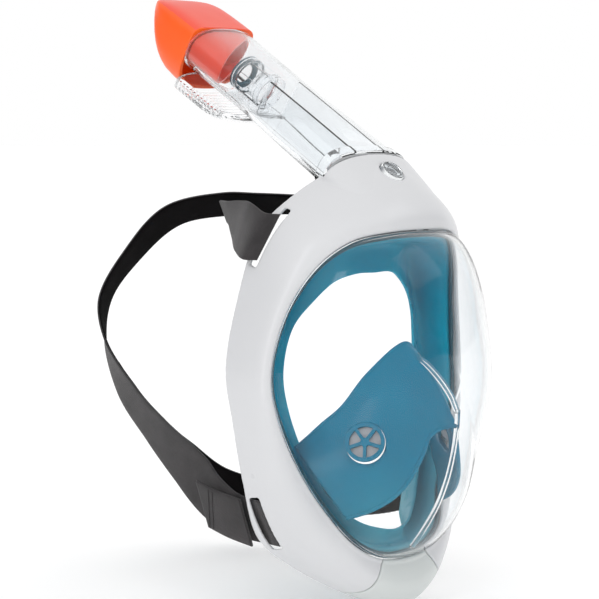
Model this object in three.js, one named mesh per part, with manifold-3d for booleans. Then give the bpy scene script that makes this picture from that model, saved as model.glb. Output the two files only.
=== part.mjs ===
// Full face snorkel: a white frame with a clear domed visor, a silicone skirt with a nose and mouth
// pocket, a clear pull-off tube with a float valve under an orange cap, and an elastic head strap.
//
// Millimetres, +Z up. The wearer looks along -Y and +X is the wearer's left. The origin is in the
// middle of the face opening: on the centre plane, level with the widest part of the visor's edge.

import * as THREE from 'three';
import { mergeVertices } from 'three/addons/utils/BufferGeometryUtils.js';
import Module from 'manifold-3d';

const wasm = await Module();
wasm.setup();

// ---------------------------------------------------------------- driving dimensions

const GAP = 0.3; // between pieces that touch
const FRAME_WALL = 2.5;
const VISOR_WALL = 2.4;
const VISOR_APEX = new THREE.Vector3(0, -77, 0);
const VISOR_FULLNESS = 1.27; // above 1 the dome is flatter at its edge
const SKIRT_WALL = 1.8;
const SKIRT_FLANGE = 4.8; // from the visor's edge in to the skirt's side wall
const POCKET_WALL = 2;

// The rim is built from stations on one half, from the forehead to the chin. Each has a point on
// the visor's edge, a control point that the frame's wall bulges towards, a point on the frame's
// rear edge and one on the edge of the skirt's face opening.
const STATIONS = [
  { visor: [0, -45, 85], bulge: [0, -50, 101], rear: [0, -9, 128.5], face: [0, -7, 58] },
  { visor: [24, -41.5, 84], bulge: [23, -46.5, 101], rear: [21, -6, 125], face: [14, -6, 58] },
  { visor: [44, -31.5, 79.5], bulge: [47, -34, 98], rear: [47, 9, 108], face: [27, -1, 54] },
  { visor: [60, -20, 66], bulge: [68, -22, 80], rear: [68, 19, 87], face: [41, 3, 43] },
  { visor: [74, -8.5, 39], bulge: [83, -10, 43], rear: [83, 25, 41], face: [52, 9, 28] },
  { visor: [82, -4, 4], bulge: [91.5, -4, 4], rear: [90, 26, 4], face: [57, 12, 2] },
  { visor: [79, -6.5, -22], bulge: [91, -7, -24], rear: [90, 20.5, -24], face: [56, 8, -22] },
  { visor: [66, -11, -53], bulge: [86, -12, -59], rear: [86, 16, -60], face: [49, 0, -50] },
  { visor: [51, -19, -79], bulge: [74, -20, -90], rear: [76, 14, -94], face: [38, -9, -73] },
  { visor: [38, -28, -97], bulge: [57, -31, -110], rear: [59, 6, -111], face: [24, -17, -86] },
  { visor: [20, -32, -107], bulge: [29, -45, -131], rear: [30, -12, -130], face: [12, -23, -91] },
  { visor: [0, -34, -109], bulge: [0, -50, -140], rear: [0, -20, -140], face: [0, -25, -93] },
];
const RIM_STEPS = 52; // samples round the rim

// The tube leans back from the neck. Its pieces are placed by s, along its axis from the collar,
// and t, across it towards the front.
const TUBE_FOOT = new THREE.Vector3(0, 7, 121.4);
const TUBE_LEAN = THREE.MathUtils.degToRad(30);
const ALONG = new THREE.Vector3(0, Math.cos(TUBE_LEAN), Math.sin(TUBE_LEAN));
const ACROSS = new THREE.Vector3(0, -Math.sin(TUBE_LEAN), Math.cos(TUBE_LEAN));
const TUBE_SQUARENESS = 2.8; // exponent of the rounded section
const COLLAR = { start: -8, end: 0, halfWidth: 34, halfDepth: 15 };
const RIM = { s: -10.5, halfWidth: 38, front: 15, back: -19 };
const BORE = { halfWidth: 32.4, halfDepth: 12.6, stepFront: 8.2, step: -15.8, floor: -34 };
const SEAM = 141; // where the cap meets the head
const HOOD = { start: 82, end: SEAM - GAP, top: -13.6, bottom: -29 };

const BUTTON = { centre: new THREE.Vector3(0, -22, 118.4), radius: 7.5, height: 4.4, slope: 43 };
const FLOAT = { radius: 8.4, start: 87, length: 12 };
const CAGE = { radius: 11, wall: 1.4, start: 84.5, end: 110.5 };

const STRAP_WIDTH = 30;
const STRAP_THICKNESS = 2.4;
const SHOULDER_SLOT = { centre: [73, 11.8, 81], tall: 34, wide: 5.4, turn: 0.3 };
const JAW_SLOT = { centre: [79, 6.5, -84.5], tall: 33, wide: 8, turn: -0.18 };

const VALVE = { centre: new THREE.Vector3(36.5, -35, -36), radius: 11.5 };
const DRAIN = { centre: new THREE.Vector3(0, -26, -121.5), radius: 9.5 };
// Half of the chin cover's outline seen from the front, from its top to its underside.
const CHIN_OUTLINE = [[12, -100], [36, -132], [36, -170]];

// ---------------------------------------------------------------- colours

const finish = (color, roughness, extra = {}) =>
  new THREE.MeshStandardMaterial({ color, roughness, metalness: 0, ...extra });
const WHITE = finish(0xe3e5e7, 0.25);
const CHIN_GREY = finish(0xd5dad8, 0.3);
const TEAL = finish(0x0a7390, 0.35);
const CLEAR = finish(0xe9f2f4, 0.05, { transparent: true, opacity: 0.3 });
const DARK_SEAL = finish(0x14404e, 0.5);
const VALVE_GREY = finish(0xa9a9ad, 0.5);
const ORANGE = finish(0xff6420, 0.35);
const CORAL = finish(0xe8523f, 0.4);
const WEBBING = finish(0x4a4648, 0.9);
const STEEL = finish(0xb8bcc0, 0.3, { metalness: 1 });

// ---------------------------------------------------------------- mesh helpers

const point = (a) => new THREE.Vector3(a[0], a[1], a[2]);

/** A closed mesh through rings of equally many points, capped at its ends unless it is looped. */
function loft(rings, looped = false) {
  const count = rings[0].length;
  const positions = rings.flat().flatMap((p) => [p.x, p.y, p.z]);
  const index = [];
  const last = looped ? rings.length : rings.length - 1;
  for (let i = 0; i < last; i += 1) {
    const a = i * count;
    const b = ((i + 1) % rings.length) * count;
    for (let j = 0; j < count; j += 1) {
      const k = (j + 1) % count;
      index.push(a + j, a + k, b + k, a + j, b + k, b + j);
    }
  }
  if (!looped) {
    [0, rings.length - 1].forEach((ring, end) => {
      const middle = positions.length / 3;
      const centre = rings[ring].reduce((sum, p) => sum.add(p), new THREE.Vector3());
      positions.push(...centre.divideScalar(count).toArray());
      for (let j = 0; j < count; j += 1) {
        const pair = [ring * count + j, ring * count + ((j + 1) % count)];
        index.push(middle, ...(end === 0 ? pair.reverse() : pair));
      }
    });
  }
  return facingOut(positions, index);
}

/** A geometry whose triangles are turned so that the volume is positive. */
function facingOut(positions, index) {
  let volume = 0;
  const at = (i) => new THREE.Vector3().fromArray(positions, index[i] * 3);
  for (let i = 0; i < index.length; i += 3) {
    volume += at(i).dot(at(i + 1).cross(at(i + 2)));
  }
  const turned = volume < 0 ? index.slice().reverse() : index;
  const geometry = new THREE.BufferGeometry();
  geometry.setAttribute('position', new THREE.Float32BufferAttribute(positions, 3));
  geometry.setIndex(turned);
  return geometry;
}

/** The geometry as a manifold solid. */
function solid(geometry) {
  const plain = geometry.clone();
  plain.deleteAttribute('normal');
  plain.deleteAttribute('uv');
  const merged = mergeVertices(plain, 1e-4);
  const vertProperties = new Float32Array(merged.attributes.position.array);
  const triVerts = new Uint32Array(merged.index.array);
  return new wasm.Manifold(new wasm.Mesh({ numProp: 3, vertProperties, triVerts }));
}

/** A manifold solid as a geometry. */
function geometryOf(manifold) {
  const mesh = manifold.getMesh();
  const geometry = new THREE.BufferGeometry();
  geometry.setAttribute('position', new THREE.BufferAttribute(mesh.vertProperties, 3));
  geometry.setIndex(new THREE.BufferAttribute(mesh.triVerts, 1));
  return geometry;
}

/** Moves a geometry whose own +Z is to point along an axis, with its centre at a point. */
function placed(geometry, centre, axis = new THREE.Vector3(0, 0, 1)) {
  const up = new THREE.Vector3(0, 0, 1);
  geometry.applyQuaternion(new THREE.Quaternion().setFromUnitVectors(up, axis.clone().normalize()));
  return geometry.translate(centre.x, centre.y, centre.z);
}

function disc(radius, height, centre, axis, segments = 24) {
  const geometry = new THREE.CylinderGeometry(radius, radius, height, segments);
  return placed(geometry.rotateX(Math.PI / 2), centre, axis);
}

function ring(outer, inner, height, centre, axis, segments = 24) {
  const half = height / 2;
  const profile = [[inner, -half], [outer, -half], [outer, half], [inner, half], [inner, -half]];
  const points = profile.map((p) => new THREE.Vector2(p[0], p[1]));
  return placed(new THREE.LatheGeometry(points, segments).rotateX(Math.PI / 2), centre, axis);
}

const group = new THREE.Group();
const inTube = new THREE.Group();
group.add(inTube);

function add(name, geometry, material, parent = group) {
  const mesh = new THREE.Mesh(geometry, material);
  mesh.name = name;
  parent.add(mesh);
  return mesh;
}

// ---------------------------------------------------------------- curves of the rim

/** The closed, mirrored curve through one of the stations' points. */
function rimCurve(key) {
  const half = STATIONS.map((station) => point(station[key]));
  const other = half.slice(1, -1).reverse().map((p) => new THREE.Vector3(-p.x, p.y, p.z));
  return new THREE.CatmullRomCurve3([...half, ...other], true, 'centripetal');
}
const RIM_CURVES = {
  visor: rimCurve('visor'),
  bulge: rimCurve('bulge'),
  rear: rimCurve('rear'),
  face: rimCurve('face'),
};

/** The points of the curves at one step, with the outward direction in the XZ plane. */
function rimStep(i) {
  const u = i / RIM_STEPS;
  const visor = RIM_CURVES.visor.getPoint(u);
  const tangent = RIM_CURVES.visor.getTangent(u);
  const out = new THREE.Vector3(tangent.z, 0, -tangent.x).normalize();
  if (out.dot(new THREE.Vector3(visor.x, 0, visor.z)) < 0) out.negate();
  const [bulge, rear, face] = ['bulge', 'rear', 'face'].map((key) => RIM_CURVES[key].getPoint(u));
  return { visor, bulge, rear, face, out };
}
const RIM_POINTS = Array.from({ length: RIM_STEPS }, (_, i) => rimStep(i));

/** A point off a base: so far outwards and so far back. */
const off = (base, out, outwards, back) =>
  base.clone().addScaledVector(out, outwards).add(new THREE.Vector3(0, back, 0));

/** A looped piece whose section is worked out at each step round the rim. */
const rimPiece = (section) => loft(RIM_POINTS.map(section), true);

const bezier = (a, b, c, u) =>
  a.clone().multiplyScalar((1 - u) ** 2).addScaledVector(b, 2 * u * (1 - u)).addScaledVector(c, u * u);

// ---------------------------------------------------------------- frame

/** The frame's wall at one step: its outer line from lip to rear edge, then its inner line back. */
function frameSection({ visor, bulge: corner, rear, out }) {
  const lip = off(visor, out, 2.6, -1.5);
  const outer = [off(visor, out, GAP, -1.2), lip.clone().lerp(off(visor, out, GAP, -3), 0.35)];
  const inner = [off(visor, out, GAP, 2.2)];
  const steps = 5;
  for (let k = 0; k <= steps; k += 1) {
    const p = bezier(lip, corner, rear, k / steps);
    const q = bezier(lip, corner, rear, Math.min(1, k / steps + 0.01));
    const r = bezier(lip, corner, rear, Math.max(0, k / steps - 0.01));
    const along = q.sub(r).normalize();
    const side = new THREE.Vector3(visor.x, 0, visor.z).normalize();
    const normal = side.clone().multiplyScalar(along.y);
    normal.y -= side.dot(along);
    normal.normalize();
    outer.push(p);
    if (k > 0) inner.push(p.clone().addScaledVector(normal, -FRAME_WALL));
  }
  return [...outer, ...inner.reverse()];
}

/** A closed section across the tube's axis, as a rounded box between a front and a back. */
function tubeRing(s, halfWidth, front, back, squareness = TUBE_SQUARENESS, sides = 28) {
  const middle = (front + back) / 2;
  const half = (front - back) / 2;
  return Array.from({ length: sides }, (_, i) => {
    const angle = (2 * Math.PI * i) / sides;
    const c = Math.cos(angle);
    const w = Math.sin(angle);
    const x = halfWidth * Math.sign(c) * Math.abs(c) ** (2 / squareness);
    const t = middle + half * Math.sign(w) * Math.abs(w) ** (2 / squareness);
    return onTube(s, t, x);
  });
}

const onTube = (s, t, x = 0) =>
  TUBE_FOOT.clone().addScaledVector(ALONG, s).addScaledVector(ACROSS, t).add(new THREE.Vector3(x, 0, 0));

const tubeLoft = (rows) => loft(rows.map((row) => tubeRing(...row)));

/** A slab that cuts a strap slot through the frame's side wall near its rear edge. */
function slotCutter(slot, side) {
  const [x, y, z] = slot.centre;
  const box = new THREE.BoxGeometry(40, slot.wide, slot.tall);
  box.rotateX(slot.turn);
  return solid(box.translate(side * x, y, z));
}

/** The chin cover's outline, as a block that the frame's chin is cut by. */
function chinBlock(grow) {
  const left = CHIN_OUTLINE.map(([x, z], i) => [x + grow, z + (i < 2 ? grow : 0)]);
  const outline = [...left, ...left.slice().reverse().map(([x, z]) => [-x, z])];
  return solid(loft([-85, 5].map((y) => outline.map(([x, z]) => new THREE.Vector3(x, y, z)))));
}

function buildFrame() {
  const outerNeck = tubeLoft([
    [-36, RIM.halfWidth - 3, RIM.front - 5, RIM.back + 3, 2.3, 36],
    [RIM.s, RIM.halfWidth, RIM.front, RIM.back, 2.3, 36],
  ]);
  const bore = tubeLoft([
    [BORE.floor - 6, 27, 1, -BORE.halfDepth + 1.6],
    [BORE.floor - 2, 29, 4, -BORE.halfDepth],
    [BORE.floor, BORE.halfWidth, BORE.stepFront, -BORE.halfDepth],
    [BORE.step - 2, BORE.halfWidth, BORE.stepFront, -BORE.halfDepth],
    [BORE.step, BORE.halfWidth, BORE.halfDepth, -BORE.halfDepth],
    [RIM.s + 5, BORE.halfWidth, BORE.halfDepth, -BORE.halfDepth],
  ]);
  const collarSpace = tubeLoft([
    [RIM.s, COLLAR.halfWidth + 0.8, COLLAR.halfDepth + 0.8, -COLLAR.halfDepth - 0.8],
    [30, COLLAR.halfWidth + 0.8, COLLAR.halfDepth + 0.8, -COLLAR.halfDepth - 0.8],
  ]);
  const shell = solid(rimPiece(frameSection));
  let frame = shell.add(solid(outerNeck)).subtract(solid(bore)).subtract(solid(collarSpace));
  const window = disc(BUTTON.radius + 0.5, 14, BUTTON.centre, buttonAxis());
  frame = frame.subtract(solid(window));
  [-1, 1].forEach((side) => {
    frame = frame.subtract(slotCutter(SHOULDER_SLOT, side));
    frame = frame.subtract(slotCutter(JAW_SLOT, side));
  });
  const cover = frame.intersect(chinBlock(0));
  return { frame: largest(frame.subtract(chinBlock(GAP))), cover: largest(cover) };
}

/** The largest body of a solid, dropping slivers that a cut leaves. */
function largest(manifold) {
  const bodies = manifold.decompose();
  return bodies.reduce((best, body) => (volumeOf(body) > volumeOf(best) ? body : best));
}
const volumeOf = (manifold) => manifold.volume();

const buttonAxis = () => {
  const slope = THREE.MathUtils.degToRad(BUTTON.slope);
  return new THREE.Vector3(0, -Math.sin(slope), Math.cos(slope));
};

const { frame, cover } = buildFrame();
add('front_frame', geometryOf(frame), WHITE);

/** Drain vents through the underside of the chin cover. */
function chinCover() {
  let piece = cover;
  [-1, 0, 1].forEach((column) => {
    const vent = new THREE.BoxGeometry(8, 3, 40).translate(12 * column, -32, DRAIN.centre.z - 12);
    piece = piece.subtract(solid(vent));
  });
  return geometryOf(largest(piece));
}
add('chin_cover', chinCover(), CHIN_GREY);

// ---------------------------------------------------------------- visor and its seal

/** A point of the dome: u runs round the edge, angle from the apex to the edge. */
function domePoint(edge, apex, angle) {
  const spread = Math.sin(angle);
  const rise = Math.cos(angle) ** VISOR_FULLNESS;
  return new THREE.Vector3(
    apex.x + (edge.x - apex.x) * spread,
    edge.y + (apex.y - edge.y) * rise,
    apex.z + (edge.z - apex.z) * spread,
  );
}

function visor() {
  const innerApex = VISOR_APEX.clone().add(new THREE.Vector3(0, VISOR_WALL, 0));
  const bands = 7;
  const around = RIM_POINTS;
  const positions = [];
  const index = [];
  const ringAt = (apex, inset, k) => around.map(({ visor: edge, out }) =>
    domePoint(off(edge, out, -inset, 0), apex, (Math.PI / 2) * (k / bands)));
  const rings = [];
  for (let k = 1; k <= bands; k += 1) rings.push(ringAt(VISOR_APEX, 0.2, k));
  for (let k = bands; k >= 1; k -= 1) rings.push(ringAt(innerApex, VISOR_WALL + 0.2, k));
  rings.flat().forEach((p) => positions.push(p.x, p.y, p.z));
  const count = around.length;
  const poles = [positions.length / 3, positions.length / 3 + 1];
  positions.push(...VISOR_APEX.toArray(), ...innerApex.toArray());
  for (let i = 0; i < rings.length - 1; i += 1) {
    for (let j = 0; j < count; j += 1) {
      const k = (j + 1) % count;
      const a = i * count;
      const b = a + count;
      index.push(a + j, a + k, b + k, a + j, b + k, b + j);
    }
  }
  const lastRing = (rings.length - 1) * count;
  for (let j = 0; j < count; j += 1) {
    const k = (j + 1) % count;
    index.push(poles[0], k, j, poles[1], lastRing + j, lastRing + k);
  }
  return facingOut(positions, index);
}
add('visor_lens', visor(), CLEAR);

const gasketSection = ({ visor: edge, out }) =>
  [[-0.2, 0.3], [-4, 0.3], [-4, 2.2], [-0.2, 2.2]].map(([a, b]) => off(edge, out, a, b));
add('visor_gasket', rimPiece(gasketSection), DARK_SEAL);

// ---------------------------------------------------------------- skirt and its clamp

/** The skirt's wall: a front flange, a side wall back to the rear edge, and a band to the face. */
function skirtSection({ visor: edge, rear, face, out }) {
  const wallAt = -SKIRT_FLANGE;
  const backDepth = Math.max(Math.min(rear.y, 24) - 3, face.y + 5) - edge.y;
  const outerBack = off(edge, out, wallAt, backDepth);
  const innerBack = off(edge, out, wallAt - SKIRT_WALL, backDepth - SKIRT_WALL);
  const roll = outerBack.clone().lerp(face, 0.4).add(new THREE.Vector3(0, 3, 0));
  return [
    off(edge, out, -0.6, 2.6), off(edge, out, -0.6, 2.6 + SKIRT_WALL),
    off(edge, out, wallAt, 2.6 + SKIRT_WALL),
    outerBack, roll, face,
    off(face, out, 0.6, -SKIRT_WALL), off(roll, out, -0.6, -SKIRT_WALL),
    innerBack, off(edge, out, wallAt - SKIRT_WALL, 2.6),
  ];
}
add('face_skirt', rimPiece(skirtSection), TEAL);

/** The ring behind the skirt's flange that holds it in the frame. */
const clampSection = ({ visor: edge, out }) =>
  [[-0.6, 4.8], [-0.6, 8.6], [GAP - SKIRT_FLANGE, 8.6], [GAP - SKIRT_FLANGE, 4.8]]
    .map(([a, b]) => off(edge, out, a, b));
add('rear_clamp_frame', rimPiece(clampSection), WHITE);

/** Screws through bosses of the clamp ring. */
function clampScrew(u) {
  const { visor: edge, out } = rimStep(u * RIM_STEPS);
  return disc(1.4, 2.4, off(edge, out, -2.5, 10.6), new THREE.Vector3(0, 1, 0), 10);
}
[0.12, 0.4, 0.6, 0.88].forEach((u, i) => add(`clamp_screw_${i + 1}`, clampScrew(u), STEEL));

// ---------------------------------------------------------------- nose and mouth pocket

/** A closed sheet of even thickness through a grid of points. */
function sheet(grid, thickness) {
  const rows = grid.length;
  const columns = grid[0].length;
  const clampTo = (i, n) => Math.min(Math.max(i, 0), n - 1);
  const at = (i, j) => grid[clampTo(i, rows)][clampTo(j, columns)];
  const positions = [];
  [0.5, -0.5].forEach((side) => {
    for (let i = 0; i < rows; i += 1) {
      for (let j = 0; j < columns; j += 1) {
        const down = at(i + 1, j).clone().sub(at(i - 1, j));
        const over = at(i, j + 1).clone().sub(at(i, j - 1));
        const normal = down.cross(over).normalize();
        positions.push(...at(i, j).clone().addScaledVector(normal, side * thickness).toArray());
      }
    }
  });
  const index = [];
  const half = rows * columns;
  const quad = (a, b, c, d) => index.push(a, b, c, a, c, d);
  for (let i = 0; i < rows - 1; i += 1) {
    for (let j = 0; j < columns - 1; j += 1) {
      const a = i * columns + j;
      quad(a, a + columns, a + columns + 1, a + 1);
      quad(half + a, half + a + 1, half + a + columns + 1, half + a + columns);
    }
  }
  const border = [];
  for (let j = 0; j < columns - 1; j += 1) border.push(j);
  for (let i = 0; i < rows - 1; i += 1) border.push(i * columns + columns - 1);
  for (let j = columns - 1; j > 0; j -= 1) border.push((rows - 1) * columns + j);
  for (let i = rows - 1; i > 0; i -= 1) border.push(i * columns);
  border.forEach((a, k) => {
    const b = border[(k + 1) % border.length];
    quad(a, b, half + b, half + a);
  });
  return facingOut(positions, index);
}

// Half of the edge against the cheek, and of the arch that reaches towards the visor.
const CHEEK_EDGE = [[0, -33, 18], [22, -24, 1], [37, -17, -18], [43, -9, -27], [47, -2, -36]];
const ARCH = [
  [0, -70.5, -27], [4, -65, -28], [11, -61.5, -32.5], [15, -60, -43], [22.5, -55, -59], [28, -48.5, -68],
  [34, -37, -75.5],
];
const POCKET_BULGE = 8;

function pocket() {
  const both = (half) => {
    const right = half.slice(1).reverse().map(([x, y, z]) => new THREE.Vector3(-x, y, z));
    return new THREE.CatmullRomCurve3([...right, ...half.map(point)]);
  };
  const cheek = both(CHEEK_EDGE);
  const seal = both(ARCH);
  const columns = 28;
  const rows = 6;
  const grid = [];
  for (let i = 0; i <= columns; i += 1) {
    const u = i / columns;
    const near = cheek.getPoint(u);
    const far = seal.getPoint(u);
    const line = [];
    for (let k = 0; k <= rows; k += 1) {
      const w = k / rows;
      const p = near.clone().lerp(far, w);
      const rise = 0.7 * POCKET_BULGE * Math.sin(Math.PI * w);
      line.push(p.add(new THREE.Vector3(rise * (2 * u - 1), 0, rise)));
    }
    grid.push(line);
  }
  let piece = solid(sheet(grid, POCKET_WALL));
  [-1, 1].forEach((side) => {
    const { centre, axis } = inhaleValve(side);
    piece = piece.subtract(solid(disc(VALVE.radius + GAP, 26, centre, axis, 28)));
  });
  return geometryOf(largest(piece));
}

/** The place and outward axis of one inhale valve. */
function inhaleValve(side) {
  return {
    centre: new THREE.Vector3(side * VALVE.centre.x, VALVE.centre.y, VALVE.centre.z),
    axis: new THREE.Vector3(side * 0.76, -0.5, 0.42).normalize(),
  };
}

/** A ring with five spokes and a hub. */
function spokedSeat(radius, centre, axis) {
  const height = 2;
  const flat = new THREE.Vector3(0, 0, 0);
  let seat = solid(ring(radius, radius - 2, height, flat)).add(solid(disc(2.4, height, flat)));
  for (let k = 0; k < 5; k += 1) {
    const spoke = new THREE.BoxGeometry(radius - 2, 2, height).translate(radius / 2, 0, 0);
    seat = seat.add(solid(spoke.rotateZ((2 * Math.PI * k) / 5)));
  }
  return placed(geometryOf(seat), centre, axis);
}

add('nose_pocket', pocket(), TEAL);
[['right', -1], ['left', 1]].forEach(([name, side]) => {
  const { centre, axis } = inhaleValve(side);
  add(`inhale_valve_seat_${name}`, spokedSeat(VALVE.radius, centre, axis), TEAL);
  const behind = centre.clone().addScaledVector(axis, -1.8);
  add(`inhale_valve_disc_${name}`, disc(VALVE.radius - 1.2, 0.8, behind, axis), VALVE_GREY);
});
const drainAxis = new THREE.Vector3(0, -0.35, -1).normalize();
add('chin_valve_seat', spokedSeat(DRAIN.radius, DRAIN.centre, drainAxis), VALVE_GREY);
const drainDisc = DRAIN.centre.clone().addScaledVector(drainAxis, 1.8);
add('chin_valve_disc', disc(DRAIN.radius - 1, 0.8, drainDisc, drainAxis), DARK_SEAL);

// ---------------------------------------------------------------- tube

/** A box in the tube's own directions. */
function tubeBox([s0, s1], [x0, x1], [t0, t1]) {
  const corners = (s) => [onTube(s, t0, x0), onTube(s, t0, x1), onTube(s, t1, x1), onTube(s, t1, x0)];
  return loft([corners(s0), corners(s1)]);
}

const CHANNEL_X = 12;

function tubeBody() {
  const outer = tubeLoft([
    [-32, 30, 3.6, -11.2], [-17, 30.5, 3.8, -11.4], [-15, 31.4, 11.6, -11.6],
    [COLLAR.start, 31.4, 11.7, -11.7],
    [COLLAR.start + 0.2, COLLAR.halfWidth, COLLAR.halfDepth, -COLLAR.halfDepth],
    [COLLAR.end, COLLAR.halfWidth, COLLAR.halfDepth, -COLLAR.halfDepth],
    [COLLAR.end + 0.2, 31, 14.3, -14.3], [40, 29, 15, -14], [78, 26.5, 15.5, -13.2],
    [100, 26.5, 16.5, -13], [SEAM, 27, 17.5, -13],
  ]);
  const inner = tubeLoft([
    [-33, 27.8, 1.4, -9], [-15, 28.3, 1.6, -9.3], [-5, 28.8, 11.6, -11.8], [40, 26.8, 12.8, -11.8],
    [78, 24.3, 13.3, -11], [100, 24.3, 14.3, -10.8], [SEAM + 1, 24.8, 15.3, -10.8],
  ]);
  let hollow = solid(inner);
  [-1, 1].forEach((side) => {
    const wall = [side * CHANNEL_X - 0.8, side * CHANNEL_X + 0.8];
    hollow = hollow.subtract(solid(tubeBox([-40, 78], wall, [-20, 20])));
  });
  const intake = tubeBox([112, 136], [-16, 16], [-16, -9]);
  return geometryOf(solid(outer).subtract(hollow).subtract(solid(intake)));
}
add('tube_body', tubeBody(), CLEAR, inTube);

/** The slotted hood over the intake at the back of the head. */
function intakeHood() {
  const rows = (inset) => [
    [HOOD.start + inset, 21 - inset, HOOD.top, -16.5 + inset],
    [96, 25 - inset, HOOD.top, -24.5 + inset],
    [112, 26 - inset, HOOD.top, HOOD.bottom + inset],
    [HOOD.end - inset, 26.6 - inset, HOOD.top, HOOD.bottom + inset],
  ];
  const raised = rows(1.8).map(([s, w, , back]) => [s, w, HOOD.top + 4, back]);
  let hood = solid(tubeLoft(rows(0))).subtract(solid(tubeLoft(raised)));
  for (let s = 98; s < 136; s += 6.5) {
    hood = hood.subtract(solid(tubeBox([s, s + 2.6], [-19, 19], [-40, -20])));
  }
  return geometryOf(largest(hood));
}
add('intake_grille', intakeHood(), CLEAR, inTube);

/** The hollow cap, cut off at a slope behind and rounded over at its tip. */
function cap() {
  const outer = tubeLoft([
    [SEAM + GAP, 27.3, 17.8, -25.8], [150, 27.3, 17.8, -26.2], [159, 27.2, 17.6, -25.2],
    [164, 27.1, 17.4, -23.3], [168, 26.9, 17.2, -20.8], [172, 26.6, 16.9, -17],
    [176, 26, 16.4, -11.8], [180, 25, 15.7, -5.2], [184, 23.2, 14.7, 1],
    [188, 20.2, 13.3, 5.2], [191, 16.5, 12, 7.2], [193, 12, 11, 8.6],
  ]);
  const inner = tubeLoft([
    [SEAM, 25, 15.5, -23.4], [159, 24.8, 15.2, -22.8], [168, 24.4, 14.8, -18.2], [176, 23.4, 13.9, -8.8],
    [183, 20.8, 12.4, 2.4], [188, 15.6, 10.9, 7.6],
  ]);
  return geometryOf(solid(outer).subtract(solid(inner)));
}
add('tube_cap', cap(), ORANGE, inTube);

/** The sleeve inside the clear head, its lower end cut at a slope across the tube. */
function capInsert() {
  const sleeve = [23.6, 14, -9.6];
  const bore = sleeve.map((size) => size - Math.sign(size) * 1.8);
  const wall = solid(tubeLoft([[100, ...sleeve], [SEAM - 1, ...sleeve]]))
    .subtract(solid(tubeLoft([[99, ...bore], [SEAM, ...bore]])));
  const outline = [[90, -40], [90, 40], [SEAM - 2, 40], [104, -40]];
  const cutter = loft([-40, 40].map((t) => outline.map(([s, x]) => onTube(s, t, x))));
  return geometryOf(largest(wall.subtract(solid(cutter))));
}
add('cap_insert', capInsert(), CORAL, inTube);

const CAGE_T = 1.2;
const cageCentre = onTube((CAGE.start + CAGE.end) / 2, CAGE_T);

function floatCage() {
  const height = CAGE.end - CAGE.start;
  const wall = ring(CAGE.radius, CAGE.radius - CAGE.wall, height, cageCentre, ALONG, 28);
  let cage = solid(wall);
  [0, 1].forEach((turn) => {
    const reach = [[-20, 20], [-4, 4]];
    const across = reach[1 - turn].map((t) => t + CAGE_T);
    const window = tubeBox([CAGE.start + 4, CAGE.end - 4], reach[turn], across);
    cage = cage.subtract(solid(window));
  });
  const bar = tubeBox([CAGE.start, CAGE.start + 1.6], [-10.4, 10.4], [CAGE_T - 1.5, CAGE_T + 1.5]);
  return geometryOf(cage.add(solid(bar)));
}
add('float_cage', floatCage(), VALVE_GREY, inTube);

const floatRow = (s, r) => [s, r, CAGE_T + r, CAGE_T - r, 2, 20];
const floatEnd = FLOAT.start + FLOAT.length;
add('float', tubeLoft([
  floatRow(FLOAT.start, FLOAT.radius * 0.5), floatRow(FLOAT.start + 3, FLOAT.radius),
  floatRow(floatEnd - 4, FLOAT.radius), floatRow(floatEnd - 1, FLOAT.radius * 0.7),
  floatRow(floatEnd, FLOAT.radius * 0.35),
]), WHITE, inTube);
add('float_seal', ring(CAGE.radius, 6, 1.6, onTube(CAGE.end + 1.1, CAGE_T), ALONG, 24), DARK_SEAL, inTube);

/** The flat ring between the collar and the neck's rim. */
const gasketRing = (s0, s1) => {
  const outer = tubeLoft([[s0, 33.6, 14.2, -14.2], [s1, 33.6, 14.2, -14.2]]);
  const inner = tubeLoft([[s0 - 1, 32, 12.4, -12.4], [s1 + 1, 32, 12.4, -12.4]]);
  return geometryOf(solid(outer).subtract(solid(inner)));
};
add('tube_socket_gasket', gasketRing(RIM.s + GAP, COLLAR.start - GAP), DARK_SEAL, inTube);

[['right', -1], ['left', 1]].forEach(([name, side]) => {
  const across = [side * 14.5, side * 23.5].sort((a, b) => a - b);
  add(`exhale_valve_flap_${name}`, tubeBox([-29, -28.2], across, [-6.4, -0.6]), VALVE_GREY, inTube);
});

// ---------------------------------------------------------------- button

const buttonBase = (depth) => BUTTON.centre.clone().addScaledVector(buttonAxis(), -depth);
add('release_button', disc(BUTTON.radius, BUTTON.height, BUTTON.centre, buttonAxis(), 28), CLEAR);

/** A coil between the button and its plate. */
function buttonSpring() {
  const turns = 2.5;
  const start = -BUTTON.height / 2 - GAP - 0.4;
  const points = Array.from({ length: 31 }, (_, i) => {
    const angle = (2 * Math.PI * turns * i) / 30;
    return new THREE.Vector3(4 * Math.cos(angle), 4 * Math.sin(angle), start - (2 * i) / 30);
  });
  const wire = new THREE.Shape();
  wire.absarc(0, 0, 0.35, 0, 2 * Math.PI);
  const extrudePath = new THREE.CatmullRomCurve3(points);
  const coil = new THREE.ExtrudeGeometry(wire, { steps: 36, curveSegments: 3, extrudePath });
  return placed(coil, BUTTON.centre, buttonAxis());
}
add('button_spring', buttonSpring(), STEEL);
add('button_latch_plate', disc(6.5, 0.8, buttonBase(BUTTON.height / 2 + 3.6), buttonAxis(), 20), STEEL);

// ---------------------------------------------------------------- head strap

const BAND_TRIM = 0.012; // left off each end, so that bands sewn together keep a gap

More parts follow.
